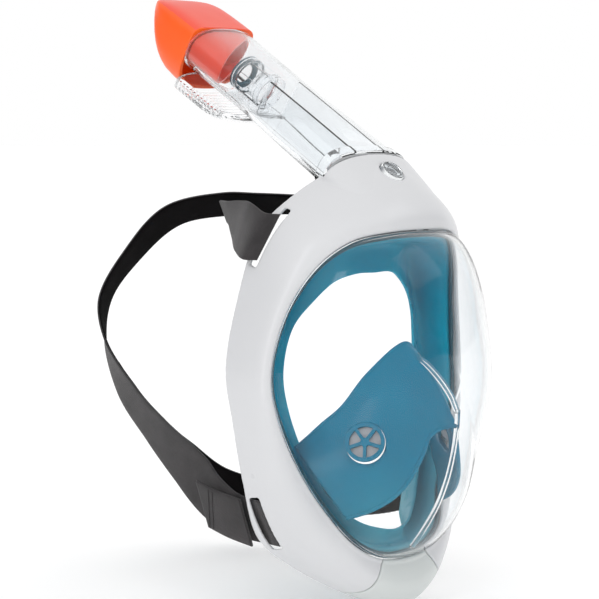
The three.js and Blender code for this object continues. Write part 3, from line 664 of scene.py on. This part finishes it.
def chin_block(name, grow):
    """The chin cover's outline as a block through the frame's chin."""
    left = [(x + grow, z + (grow if z > -160 else 0)) for x, z in CHIN_OUTLINE]
    outline = left + [(-x, z) for x, z in reversed(left)]
    return loft(name, [[(x, y, z) for x, z in outline] for y in (-85, 5)], WHITE)


def build_frame():
    shell = rim_loft("front_frame_shell", frame_sections(), WHITE)
    neck = tube_loft("neck", [(-36, 35, 10, -16, 2.3), (RIM_S, 38, 15, -19, 2.3)], WHITE)
    combine(shell, [neck], "UNION", True)
    soften(shell, 0.5, 0)  # one clean surface, because cuts in one that crosses itself can be lost
    bore = tube_loft("bore", [
        (-40, 27, 1, -11), (-36, 29, 4, -12.6), (-34, 32.4, 8.2, -12.6), (-17.8, 32.4, 8.2, -12.6),
        (-15.8, 32.4, 12.6, -12.6), (-5, 32.4, 12.6, -12.6),
    ], WHITE)
    collar = (34.8, 15.8, -15.8)
    collar_space = tube_loft("collar_space", [(RIM_S + 0.03, *collar), (30, *collar)], WHITE)
    combine(shell, [bore, collar_space], "DIFFERENCE")
    window = lathe("window", [(0, -7), (8, -7), (8, 7), (0, 7)], BUTTON_CENTRE, BUTTON_AXIS, WHITE)
    cutters = [window]
    for side in (-1, 1):
        cutters.append(block("slot", (side * 73, 11.8, 81), (40, 5.4, 34), 0.3))
        cutters.append(block("slot", (side * 79, 6.5, -84), (40, 8, 31.5), -0.18))
    combine(shell, cutters, "DIFFERENCE")
    cover = duplicate(shell, "chin_cover_shell")
    combine(cover, [chin_block("chin_space", 0.0)], "INTERSECT")
    combine(shell, [chin_block("chin_space", 0.35)], "DIFFERENCE")
    return shell, cover


shell, cover = build_frame()
VOXEL = 0.55
soften(shell, VOXEL, 22)
soften(cover, VOXEL, 16)
shell.name, cover.name = "front_frame_visual", "chin_cover_visual"
for piece, material in ((shell, WHITE), (cover, CHIN_GREY)):
    piece.data.materials.clear()
    piece.data.materials.append(material)
place(shell, "mask", ["front_frame"], "frame_white")
place(cover, "mask", ["chin_cover"], "chin_grey")

# ------------------------------------------------------------------ visor, seal and skirt


def dome(edge, apex, angle):
    """Points of the dome from its apex, angle 0, to its edge, a quarter turn."""
    spread, rise = math.sin(angle), math.cos(angle) ** VISOR_FULLNESS
    centre = np.array([apex[0], 0, apex[2]])
    flat = centre + (edge * [1, 0, 1] - centre) * spread
    flat[:, 1] = edge[:, 1] + (apex[1] - edge[:, 1]) * rise
    return flat


def build_visor():
    bands = 44
    inner_apex = VISOR_APEX + [0, VISOR_WALL, 0]
    angles = (np.arange(bands) + 1) / bands * math.pi / 2
    outer = [dome(RIM.off(RIM.visor, -0.2, 0), VISOR_APEX, a) for a in angles]
    inner = [dome(RIM.off(RIM.visor, -VISOR_WALL - 0.2, 0), inner_apex, a) for a in angles]
    rings = outer + inner[::-1]
    count = len(RIM.visor)
    points = np.concatenate([np.concatenate(rings), [VISOR_APEX, inner_apex]])
    faces = strip_faces(len(rings), count, False, True)
    poles = len(points) - 2, len(points) - 1
    last = (len(rings) - 1) * count
    for j in range(count):
        k = (j + 1) % count
        faces.append((poles[0], k, j))
        faces.append((poles[1], last + j, last + k))
    return make_object("visor_lens_visual", points, faces, CLEAR_VISOR)


place(build_visor(), "mask", ["visor_lens"], "clear_visor")


def bead(name, line, radius, material, sides=14):
    """A round bead along a line of points."""
    line = np.asarray(line, float)
    tangent = unit(np.gradient(line, axis=0))
    first = unit(np.cross(tangent, [0.31, 0.27, 0.91]))
    second = np.cross(tangent, first)
    around = np.arange(sides) * 2 * math.pi / sides
    radius = np.broadcast_to(radius, len(line))
    rings = [c + r * (np.cos(around)[:, None] * a + np.sin(around)[:, None] * b)
             for c, r, a, b in zip(line, radius, first, second)]
    return loft(name, rings, material)


# The clear keel: two ribs from the nose bridge to the tip, and one down the inside of the visor.
KEEL_RIBS = ((-1.6, -40, 12.5), (-1.8, -50, 7), (-1.8, -60, -1), (-1.6, -68, -10), (-1.2, -72.6, -19))
KEEL_DOWN = ((0, -72.8, -17), (0, -72.2, -27), (0, -69.8, -42), (0, -65.2, -58), (0, -57.5, -75),
             (0, -47, -91), (0, -38.5, -102))
for flip, word in ((1, "right"), (-1, "left")):
    route = spline(np.array(KEEL_RIBS, float) * [flip, 1, 1], np.linspace(0, 1, 60))
    place(bead(f"visor_keel_rib_{word}", route, 0.9, CLEAR_KEEL), "mask", slot="clear_visor")
keel = bead("visor_keel", spline(KEEL_DOWN, np.linspace(0, 1, 90)), 1.5, CLEAR_KEEL)
place(keel, "mask", slot="clear_visor")

GASKET_SECTION = ((-0.2, 0.6), (-0.8, 0.3), (-3.6, 0.3), (-4.1, 0.8), (-4.1, 1.8), (-3.6, 2.2), (-0.4, 2.2))
gasket = rim_loft("visor_gasket_visual", [RIM.off(RIM.visor, a, b) for a, b in GASKET_SECTION], SEAL)
place(gasket, "mask", ["visor_gasket"], "seal_dark")


def build_skirt():
    edge, rear, face = RIM.visor, RIM.rear, RIM.face
    depth = np.maximum(np.minimum(rear[:, 1:2], 24) - 3, face[:, 1:2] + 5) - edge[:, 1:2]
    up = np.array([0, 1, 0])
    outer_back = RIM.off(edge, -SKIRT_FLANGE, 0) + up * depth
    inner_back = RIM.off(edge, -SKIRT_FLANGE - SKIRT_WALL, 0) + up * (depth - SKIRT_WALL)
    roll = outer_back * 0.6 + face * 0.4 + up * 3
    section = [
        RIM.off(edge, -0.6, 2.6), RIM.off(edge, -0.6, 2.6 + SKIRT_WALL),
        RIM.off(edge, -SKIRT_FLANGE, 2.6 + SKIRT_WALL),
        RIM.off(edge, -SKIRT_FLANGE, 0) + up * (depth * 0.6), outer_back, roll,
        face * 0.9 + roll * 0.1, face + up * 0.3, face - up * (SKIRT_WALL + 0.3) + RIM.out * 0.3,
        face * 0.9 + roll * 0.1 - up * SKIRT_WALL, roll - RIM.out * 0.6 - up * SKIRT_WALL, inner_back,
        RIM.off(edge, -SKIRT_FLANGE - SKIRT_WALL, 0) + up * (depth * 0.6),
        RIM.off(edge, -SKIRT_FLANGE - SKIRT_WALL, 2.6),
    ]
    skirt = rim_loft("face_skirt_visual", section, TEAL)
    add_modifier(skirt, "SUBSURF", levels=2, render_levels=2)
    return skirt


place(build_skirt(), "mask", ["face_skirt"], "silicone_teal")

# ------------------------------------------------------------------ pocket and valves

CHEEK_EDGE = ((0, -33, 18), (22, -24, 1), (37, -17, -18), (44, -8, -28), (49, -1, -36), (54, 4, -42))
ARCH = ((0, -71, -26.5), (4, -65, -28), (11, -61.5, -32.5), (15, -60, -43), (22.5, -55, -59),
        (28, -48.5, -68), (34.5, -38, -75.5), (41, -25, -81))
POCKET_BULGE = 8.0
VALVE_CENTRE = np.array([36.5, -35.0, -36.0])
VALVE_AXIS = np.array([0.76, -0.5, 0.42])
VALVE_RADIUS = 11.5
DRAIN_CENTRE = np.array([0.0, -26.0, -121.5])
DRAIN_AXIS = np.array([0.0, -0.35, -1.0])
DRAIN_RADIUS = 9.5


def mirrored_half(half):
    half = np.array(half, float)
    return np.concatenate([half[:0:-1] * [-1, 1, 1], half])


def pocket_grid(columns, rows):
    u = np.linspace(0, 1, columns)
    near, far = spline(mirrored_half(CHEEK_EDGE), u), spline(mirrored_half(ARCH), u)
    w = np.linspace(0, 1, rows)[None, :, None]
    grid = near[:, None] * (1 - w) + far[:, None] * w
    rise = POCKET_BULGE * 0.7 * np.sin(math.pi * w[..., 0])
    grid[..., 0] += rise * (2 * u - 1)[:, None]
    grid[..., 2] += rise
    return grid


def valve_frame(side):
    flip = np.array([side, 1, 1])
    return VALVE_CENTRE * flip, unit(VALVE_AXIS * flip)


def build_pocket():
    columns, rows = ((113, 33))
    pocket = grid_sheet("nose_pocket_visual", pocket_grid(columns, rows), POCKET_WALL, POCKET_TEAL)
    holes = []
    for side in (-1, 1):
        centre, axis = valve_frame(side)
        holes.append(lathe("hole", [(0, -13), (VALVE_RADIUS + 0.2, -13), (VALVE_RADIUS + 0.2, 13), (0, 13)],
                           centre, axis, POCKET_TEAL))
    return combine(pocket, holes, "DIFFERENCE")


def spoked_seat(name, radius, centre, axis, material):
    """A ring, a hub and five spokes, moulded in one."""
    flat, up = np.zeros(3), np.array([0.0, 0.0, 1.0])
    ring = [(radius - 2.2, -1), (radius, -1), (radius, 1), (radius - 2.2, 1)]
    seat = lathe(name, ring, flat, up, material, 64)
    hub = lathe("hub", [(0, -1), (2.6, -1), (2.6, 1), (0, 1)], flat, up, material, 32)
    spokes = []
    for k in range(5):
        spoke = block("spoke", (radius / 2 - 0.2, 0, 0), (radius - 2, 1.9, 1.9))
        spoke.data.transform(Matrix.Rotation(2 * math.pi * k / 5, 4, "Z"))
        spokes.append(spoke)
    combine(seat, [hub] + spokes, "UNION")
    seat.data.materials.clear()
    seat.data.materials.append(material)
    seat.data.transform(basis(centre, axis))
    round_edges(seat, 0.35, 2)
    return seat


def valve_disc(name, radius, centre, axis, material):
    """A thin rubber disc with a raised stud and a slightly turned up rim."""
    profile = [(0, 0.9), (1.2, 0.8), (1.5, 0.4), (radius * 0.6, 0.25), (radius - 0.5, 0.4), (radius, 0.3),
               (radius - 0.3, -0.2), (radius * 0.6, -0.4), (0, -0.4)]
    return lathe(name, profile, centre, axis, material, 64)


place(build_pocket(), "mask", ["nose_pocket"], "silicone_teal")
u = np.linspace(0, 1, 180)
for name, line, radius in (("pocket_arch_bead", ARCH, 1.4), ("pocket_cheek_bead", CHEEK_EDGE, 1.3)):
    place(bead(name, spline(mirrored_half(line), u), radius, POCKET_TEAL), "mask", slot="silicone_teal")
for side, word in ((-1, "right"), (1, "left")):
    centre, axis = valve_frame(side)
    seat = spoked_seat(f"inhale_valve_seat_{word}_visual", VALVE_RADIUS, centre, axis, POCKET_TEAL)
    place(seat, "mask", [f"inhale_valve_seat_{word}"], "valve_teal")
    disc = valve_disc(f"inhale_valve_disc_{word}_visual", VALVE_RADIUS - 1.2, centre - axis * 1.8,
                      axis, VALVE_GREY)
    place(disc, f"inhale_disc_{word}", [f"inhale_valve_disc_{word}"], "valve_grey")

drain_axis = unit(DRAIN_AXIS)
seat = spoked_seat("chin_valve_seat_visual", DRAIN_RADIUS, DRAIN_CENTRE, drain_axis, VALVE_GREY)
place(seat, "mask", ["chin_valve_seat"], "valve_grey")
disc = valve_disc("chin_valve_disc_visual", DRAIN_RADIUS - 1, DRAIN_CENTRE + drain_axis * 1.8,
                  drain_axis, SEAL)
place(disc, "chin_disc", ["chin_valve_disc"], "seal_dark")

# ------------------------------------------------------------------ clamp ring and its screws

CLAMP_SECTION = ((-0.6, 5.2), (-0.6, 8.2), (-1.0, 8.6), (-4.1, 8.6), (-4.5, 8.2), (-4.5, 5.2), (-4.1, 4.8),
                 (-1.0, 4.8))
clamp = rim_loft("rear_clamp_frame_visual", [RIM.off(RIM.visor, a, b) for a, b in CLAMP_SECTION], WHITE)
place(clamp, "mask", ["rear_clamp_frame"], "frame_white")


def pan_screw(name, centre):
    """A domed screw head with a cross recess."""
    back = np.array([0.0, 1.0, 0.0])
    dome = [(0, -1.2), (1.4, -1.2), (1.45, 0.1), (1.2, 0.8), (0.6, 1.15), (0, 1.2)]
    head = lathe(name, dome, centre, back, STEEL, 32)
    cuts = []
    for turn in (0, 1):
        cut = block("cut", (0, 0, 1.0), (1.7, 0.4, 1.0))
        cut.data.transform(basis(centre, back, turn * math.pi / 2))
        cuts.append(cut)
    combine(head, cuts, "DIFFERENCE")
    head.data.materials.clear()
    head.data.materials.append(STEEL)
    return head


for k, share in enumerate((0.12, 0.4, 0.6, 0.88), 1):
    at = int(round(share * RIM_STEPS)) % RIM_STEPS
    centre = RIM.visor[at] + RIM.out[at] * -2.5 + np.array([0, 10.6, 0])
    place(pan_screw(f"clamp_screw_{k}_visual", centre), "mask", [f"clamp_screw_{k}"], "screw_steel")

# ------------------------------------------------------------------ tube, hood, cap and insert

CHANNEL_X = 12.0
TUBE_OUTER = (
    (-32, 30, 3.6, -11.2), (-17, 30.5, 3.8, -11.4), (-15, 31.4, 11.6, -11.6), (-8, 31.4, 11.7, -11.7),
    (-7.8, 33.4, 14.4, -14.4), (-7.2, 34, 15, -15), (-0.8, 34, 15, -15), (0, 33.2, 14.6, -14.6),
    (0.4, 31, 14.3, -14.3), (20, 30, 14.7, -14.2), (40, 29, 15, -14), (60, 27.6, 15.3, -13.6),
    (78, 26.5, 15.5, -13.2), (100, 26.5, 16.5, -13), (120, 26.7, 17, -13), (SEAM, 27, 17.5, -13),
)
TUBE_INNER = (
    (-33, 27.8, 1.4, -9), (-15, 28.3, 1.6, -9.3), (-5, 28.8, 11.6, -11.8), (40, 26.8, 12.8, -11.8),
    (78, 24.3, 13.3, -11), (100, 24.3, 14.3, -10.8), (SEAM + 1, 24.8, 15.3, -10.8),
)


def tube_box(name, along, side, across):
    """A box in the tube's own directions."""
    corners = [(x, t) for x, t in ((side[0], across[0]), (side[1], across[0]), (side[1], across[1]),
                                   (side[0], across[1]))]
    rings = [[on_tube(s, t, x) for x, t in corners] for s in along]
    return loft(name, rings, CLEAR_TUBE)


def tube_prism(name, outline, across):
    """A prism through the tube's depth from an outline of (s, x) points."""
    rings = [[on_tube(s, t, x) for s, x in outline] for t in across]
    return loft(name, rings, CLEAR_TUBE)


def build_tube():
    body = tube_loft("tube_body_visual", TUBE_OUTER, CLEAR_TUBE)
    hollow = tube_loft("hollow", TUBE_INNER, CLEAR_TUBE)
    walls = []
    for side in (-1, 1):
        across = (side * CHANNEL_X - 0.8, side * CHANNEL_X + 0.8)
        walls.append(tube_box("wall", (-40, 78), across, (-20, 20)))
    combine(hollow, walls, "DIFFERENCE")
    intake = tube_box("intake", (112, 136), (-16, 16), (-16, -9))
    combine(body, [hollow, intake], "DIFFERENCE")
    body.data.shade_smooth()
    round_edges(body, 0.25, 2, 40)
    return body


place(build_tube(), "tube", ["tube_body"], "clear_tube")


def build_hood():
    def rows(inset):
        return [(82 + inset, 21 - inset, -13.6, -16.5 + inset), (88, 23.4 - inset, -13.6, -20.5 + inset),
                (96, 25 - inset, -13.6, -24.5 + inset), (104, 25.8 - inset, -13.6, -27.5 + inset),
                (112, 26 - inset, -13.6, -29 + inset), (140.7 - inset, 26.6 - inset, -13.6, -29 + inset)]

    hood = tube_loft("intake_grille_visual", rows(0), CLEAR_TUBE)
    hollow = tube_loft("hollow", [(s, w, -9.6, back) for s, w, _, back in rows(1.8)], CLEAR_TUBE)
    slots = [tube_box("slot", (s, s + 1.5), (-30, 30), (-40, -19)) for s in np.arange(97, 138, 3.6)]
    combine(hood, [hollow] + slots, "DIFFERENCE")
    hood.data.materials.clear()
    hood.data.materials.append(CLEAR_HOOD)
    round_edges(hood, 0.2, 2, 40)
    return hood


place(build_hood(), "tube", ["intake_grille"], "clear_tube")

CAP_ROWS = (
    (SEAM + 0.3, 26.9, 17.4, -25.4), (SEAM + 0.8, 27.3, 17.8, -25.8), (150, 27.3, 17.8, -26.2),
    (159, 27.2, 17.6, -25.2), (164, 27.1, 17.4, -23.3), (168, 26.9, 17.2, -20.8), (172, 26.6, 16.9, -17),
    (176, 26, 16.4, -11.8), (180, 25, 15.7, -5.2), (184, 23.2, 14.7, 1), (188, 20.2, 13.3, 5.2),
    (191, 16.5, 12, 7.2), (193, 12, 11, 8.6),
)
FRONT_SQUARENESS = 6.0


def cap_ring(s, width, front, back, sides):
    """A ring of the cap, squarer in front than behind."""
    angle = np.arange(sides) * 2 * math.pi / sides
    c, w = np.cos(angle), np.sin(angle)
    power = 2 / np.where(w > 0, FRONT_SQUARENESS, 2.8)
    x = width * np.sign(c) * np.abs(c) ** power
    t = (front + back) / 2 + (front - back) / 2 * np.sign(w) * np.abs(w) ** power
    return on_tube(np.full(sides, s), t, x)


def build_cap():
    """The cap: an orange shell whose front-facing faces take a duller coral, a painted shade."""
    sides = 120
    hollow = tube_loft("hollow", [
        (SEAM, 25, 15.5, -23.4), (159, 24.8, 15.2, -22.8), (168, 24.4, 14.8, -18.2),
        (176, 23.4, 13.9, -8.8), (183, 20.8, 12.4, 2.4), (188, 15.6, 10.9, 7.6)], ORANGE)
    cap = loft("tube_cap_visual", [cap_ring(*row, sides) for row in CAP_ROWS], ORANGE)
    combine(cap, [hollow], "DIFFERENCE")
    cap.data.materials.clear()
    cap.data.materials.append(ORANGE)
    cap.data.materials.append(CAP_FRONT_PAINTED_SHADE)
    level = float(TUBE_FOOT @ ACROSS) * MM
    # Faces turned to the front get the duller coral, a painted shade of the orange.
    for face in cap.data.polygons:
        if np.dot(face.normal, ACROSS) > 0.75 and np.dot(face.center, ACROSS) > level + 0.006:
            face.material_index = 1
    round_edges(cap, 0.5, 3, 30)
    return cap


place(build_cap(), "tube", ["tube_cap"], "cap_orange")


def build_insert():
    sleeve = tube_loft("cap_insert_visual", [(100, 23.4, 13.8, -10), (140, 23.8, 14.4, -10)], CORAL)
    hollow = tube_loft("hollow", [(99, 21.8, 12.2, -8.4), (141, 22.2, 12.8, -8.4)], CORAL)
    oblique = tube_prism("oblique", [(90, -40), (90, 40), (152, 40), (98, -40)], (-20, 30))
    combine(sleeve, [hollow, oblique], "DIFFERENCE")
    sleeve.data.materials.clear()
    sleeve.data.materials.append(CORAL)
    round_edges(sleeve, 0.3, 2)
    return sleeve


place(build_insert(), "tube", ["cap_insert"], "insert_coral")

CAGE_T = 1.2
CAGE_RADIUS, CAGE_START, CAGE_END = 11.0, 84.5, 110.5


def build_cage():
    outer, inner = CAGE_RADIUS, CAGE_RADIUS - 1.4
    middle = on_tube((CAGE_START + CAGE_END) / 2, CAGE_T)
    half = (CAGE_END - CAGE_START) / 2
    wall = [(inner, -half), (outer, -half), (outer, half), (inner, half)]
    cage = lathe("float_cage_visual", wall, middle, ALONG, CAGE, 64)
    cuts = []
    for turn in range(4):
        window = block("window", (0, 0, 0), (40, 8, 2 * half - 8))
        window.data.transform(basis(middle, ALONG, turn * math.pi / 4))
        cuts.append(window)
    combine(cage, cuts, "DIFFERENCE")
    bars = []
    for turn in (0, 1):
        bar = block("bar", (0, 0, 0), (2 * inner + 0.8, 2.4, 1.6))
        bar.data.transform(basis(on_tube(CAGE_START + 0.8, CAGE_T), ALONG, turn * math.pi / 2))
        bars.append(bar)
    combine(cage, bars, "UNION")
    cage.data.materials.clear()
    cage.data.materials.append(CAGE)
    round_edges(cage, 0.25, 2)
    return cage


place(build_cage(), "tube", ["float_cage"], "cage_grey")
r = 8.4
float_body = lathe("float_visual", [
    (0, 0), (r * 0.5, 0), (r * 0.78, 0.6), (r * 0.95, 1.8), (r, 3.2), (r, 7.8), (r * 0.93, 9.6),
    (r * 0.7, 11), (r * 0.4, 11.8), (0, 12)], on_tube(87, CAGE_T), ALONG, FLOAT_WHITE, 64)
place(float_body, "float", ["float"], "float_white")
seal_ring = lathe("float_seal_visual", [
    (6, -0.5), (6.4, -0.8), (10.6, -0.8), (11, -0.4), (11, 0.4), (10.6, 0.8), (6.4, 0.8), (6, 0.5)],
    on_tube(CAGE_END + 1.1, CAGE_T), ALONG, SEAL, 64)
place(seal_ring, "tube", ["float_seal"], "seal_dark")

gasket_ring = tube_loft("tube_socket_gasket_visual", [
    (RIM_S + 0.3, 33.2, 13.8, -13.8), (RIM_S + 0.6, 33.6, 14.2, -14.2), (-8.6, 33.6, 14.2, -14.2),
    (-8.3, 33.2, 13.8, -13.8)], SEAL)
hollow = tube_loft("hollow", [(-12, 32, 12.4, -12.4), (-7, 32, 12.4, -12.4)], SEAL)
combine(gasket_ring, [hollow], "DIFFERENCE")
gasket_ring.data.materials.clear()
gasket_ring.data.materials.append(GASKET)
place(gasket_ring, "tube", ["tube_socket_gasket"], "seal_dark")

for side, word in ((-1, "right"), (1, "left")):
    across = sorted((side * 14.5, side * 23.5))
    flap = tube_box(f"exhale_valve_flap_{word}_visual", (-29, -28.2), across, (-6.4, -0.6))
    flap.data.materials.clear()
    flap.data.materials.append(VALVE_GREY)
    round_edges(flap, 0.3, 3)
    place(flap, f"exhale_flap_{word}", [f"exhale_valve_flap_{word}"], "valve_grey")

# ------------------------------------------------------------------ button

button = lathe("release_button_visual", [
    (0, -2.2), (6.6, -2.2), (7.5, -1.6), (7.5, 1.0), (6.9, 1.9), (6.0, 2.2), (5.2, 1.8), (4.4, 1.6),
    (3.0, 1.9), (1.2, 2.1), (0, 2.1)], BUTTON_CENTRE, BUTTON_AXIS, CLEAR_BUTTON, 64)
place(button, "button", ["release_button"], "clear_button")


def build_spring():
    """A coil of wire between the button and its plate."""
    turns, radius, wire, steps, sides = 2.5, 4.0, 0.35, 160, 12
    u = np.linspace(0, 1, steps)
    angle = 2 * math.pi * turns * u
    start = -2.9
    centre = np.stack([radius * np.cos(angle), radius * np.sin(angle), start - 2 * u], 1)
    radial = np.stack([np.cos(angle), np.sin(angle), np.zeros(steps)], 1)
    rise = np.array([0, 0, 1.0])
    around = np.arange(sides) * 2 * math.pi / sides
    rings = [c + wire * (np.cos(around)[:, None] * r0 + np.sin(around)[:, None] * rise)
             for c, r0 in zip(centre, radial)]
    spring = loft("button_spring_visual", rings, STEEL)
    spring.data.transform(basis(BUTTON_CENTRE, BUTTON_AXIS))
    return spring


spring = build_spring()
place(spring, "mask", ["button_spring"], "screw_steel")
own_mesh(spring)
plate = lathe("button_latch_plate_visual", [
    (0, -0.4), (6.2, -0.4), (6.5, -0.1), (6.5, 0.2), (6.2, 0.4), (4.9, 0.4), (4.6, 0.2), (0, 0.2)],
    BUTTON_CENTRE - BUTTON_AXIS * 5.8, BUTTON_AXIS, STEEL, 48)
place(plate, "mask", ["button_latch_plate"], "screw_steel")

# ------------------------------------------------------------------ straps

CROWN = ((-24, 96, 97), (-0.7, -0.53, 0.48))
MAIN_ROUTE = (
    ((69.6, 10.3, 81.5), (-0.42, -0.22, 0.88)), ((74.6, 16.5, 82), (-0.42, -0.2, 0.88)),
    ((62, 42, 91), (-0.5, -0.3, 0.8)),
    ((20, 60, 96), (-0.67, -0.63, 0.4)), ((-16, 76, 97.5), (-0.66, -0.6, 0.45)), CROWN,
    ((-44, 122, 90), (-0.81, -0.44, 0.4)), ((-51, 154, 64), (-0.85, -0.49, 0.21)),
    ((-55, 177, 34), (-0.8, -0.59, 0.1)), ((-54, 178, 8), (-0.63, -0.77, 0.12)),
    ((-58, 152, -22), (-0.31, -0.9, 0.31)), ((-68, 112, -42), (-0.19, -0.86, 0.47)),
    ((-77, 72, -59), (0.02, -0.75, 0.65)), ((-79, 46, -75), (-0.05, -0.3, 0.95)),
    ((-76.5, 26, -82), (-0.28, 0.05, 0.95)), ((-73.2, 12.5, -84.3), (-0.38, 0.12, 0.9)),
    ((-74.6, 6.5, -84), (-0.38, 0.12, 0.9)), ((-74.6, 3.2, -84), (-0.38, 0.12, 0.9)),
)
SHOULDER_ROUTE = (
    ((-69.6, 10.3, 81.5), (0.42, -0.22, 0.88)), ((-74.6, 16.5, 82), (0.42, -0.2, 0.88)),
    ((-70, 30, 86), (0.2, -0.25, 0.92)),
    ((-57, 50, 89.5), (-0.25, -0.5, 0.75)), ((-42, 74, 92.5), (-0.6, -0.55, 0.5)),
    ((-27, 94, 92.8), (-0.7, -0.53, 0.48)),
)
JAW_ROUTE = (
    ((74.6, 3.2, -84), (0.38, 0.12, 0.9)), ((74.6, 6.5, -84), (0.38, 0.12, 0.9)),
    ((73.2, 12.5, -84.3), (0.38, 0.12, 0.9)), ((77.5, 28, -86), (0.28, 0.1, 0.95)),
    ((83, 62, -94), (0.27, -0.05, 0.95)), ((80, 120, -106), (0.25, -0.3, 0.9)),
    ((60, 160, -106), (0.2, -0.6, 0.75)), ((34, 172, -94), (0.1, -0.8, 0.6)),
    ((5, 171, -73), (-0.03, -0.84, 0.55)), ((-22, 170, -50), (-0.27, -0.86, 0.43)),
    ((-39, 170, -29), (-0.41, -0.87, 0.28)), ((-50, 172, -7), (-0.58, -0.8, 0.16)),
)
TAIL_ROUTES = {
    -1: ((-80.8, 18, -84.5), (-83.5, 34, -81.5), (-84.4, 51, -77.5)),
    1: ((80.8, 18, -84.5), (84, 34, -87), (87, 50, -91)),
}


def ribbon(name, route, outer, width=STRAP_WIDTH, thickness=STRAP_THICKNESS, steps=220):
    """A woven band with rounded edges. Its outer side faces the direction outer at its start; its inner side
    takes the painted-shade webbing.
    """
    steps = steps
    u = np.linspace(0, 1, steps)
    line = spline([p for p, _ in route], u)
    wide = unit(spline([w for _, w in route], u))
    tangent = unit(np.gradient(line, axis=0))
    normal = unit(np.cross(tangent, wide))
    if np.dot(normal[0], outer) < 0:
        normal = -normal
    run = np.concatenate([[0], np.cumsum(np.linalg.norm(np.diff(line, axis=0), axis=1))])
    half, thin = width / 2, thickness / 2
    flat = [-1, -0.985, -0.95, -0.7, -0.35, 0, 0.35, 0.7, 0.95, 0.985, 1]
    section = [(a * half, thin * (0.25 if abs(a) == 1 else 0.8 if abs(a) > 0.97 else 1)) for a in flat]
    section += [(a, -b) for a, b in reversed(section)]
    rings = [p + np.outer([a for a, _ in section], w) + np.outer([b for _, b in section], n)
             for p, w, n in zip(line, wide, normal)]
    band = loft(name, rings, WEBBING)
    mesh = band.data
    mesh.materials.append(WEBBING_PAINTED_SHADE)
    count = len(section)
    layer = mesh.uv_layers.new(name="band")
    outer_faces = len(flat)
    for face in mesh.polygons:
        if len(face.vertices) > 4:
            continue
        columns = [v % count for v in face.vertices]
        rows = [v // count for v in face.vertices]
        # Faces on the inner side take the second, near-black webbing, a painted shade.
        face.material_index = 1 if min(columns) >= outer_faces and max(columns) > outer_faces else 0
        for loop, column, row in zip(face.loop_indices, columns, rows):
            layer.data[loop].uv = (section[column][0] * MM, run[row] * MM)
    return band


main = ribbon("head_strap_visual", MAIN_ROUTE, (1, 0, 0), steps=420)
place(main, "mask", ["shoulder_strap_left", "back_strap", "jaw_strap_right"], "webbing")
for name, route, outer in (("shoulder_strap_right", SHOULDER_ROUTE, -1), ("jaw_strap_left", JAW_ROUTE, 1)):
    place(ribbon(f"{name}_visual", route, (outer, 0, 0)), "mask", [name], "webbing")


def stitches(name, centre, along, across, outward):
    """Two rows of short thread stitches across a band."""
    threads = []
    for row in (-1, 1):
        for k in range(-6, 7):
            start = centre + along * (row * 1.6) + across * (k * 2.0) + outward * 1.0
            ends = [start - across * 0.75, start + outward * 0.3, start + across * 0.75]
            threads.append(bead(name, spline(ends, np.linspace(0, 1, 7)), 0.3, THREAD, 8))
    joined = threads[0]
    merged = bmesh.new()
    for thread in threads:
        merged.from_mesh(thread.data)
    merged.to_mesh(joined.data)
    merged.free()
    for thread in threads[1:]:
        bpy.data.objects.remove(thread)
    joined.name = name
    return joined


for side, word in ((-1, "right"), (1, "left")):
    upright = (side * 0.26, 0.08, 0.95)
    route = [(p, upright) for p in TAIL_ROUTES[side]]
    tail = ribbon(f"jaw_strap_tail_{word}_visual", route, (side, 0, 0), steps=60)
    place(tail, "mask", [f"jaw_strap_tail_{word}"], "webbing")
    middle, ahead = np.array(TAIL_ROUTES[side][1], float), np.array(TAIL_ROUTES[side][2], float)
    along = unit(ahead - middle)
    across = unit(np.array(upright) - along * np.dot(along, upright))
    outward = np.cross(along, across)
    outward *= np.sign(outward[0]) * side
    thread = stitches(f"jaw_strap_stitches_{word}", middle * 0.45 + ahead * 0.55, along, across, outward)
    place(thread, "mask")
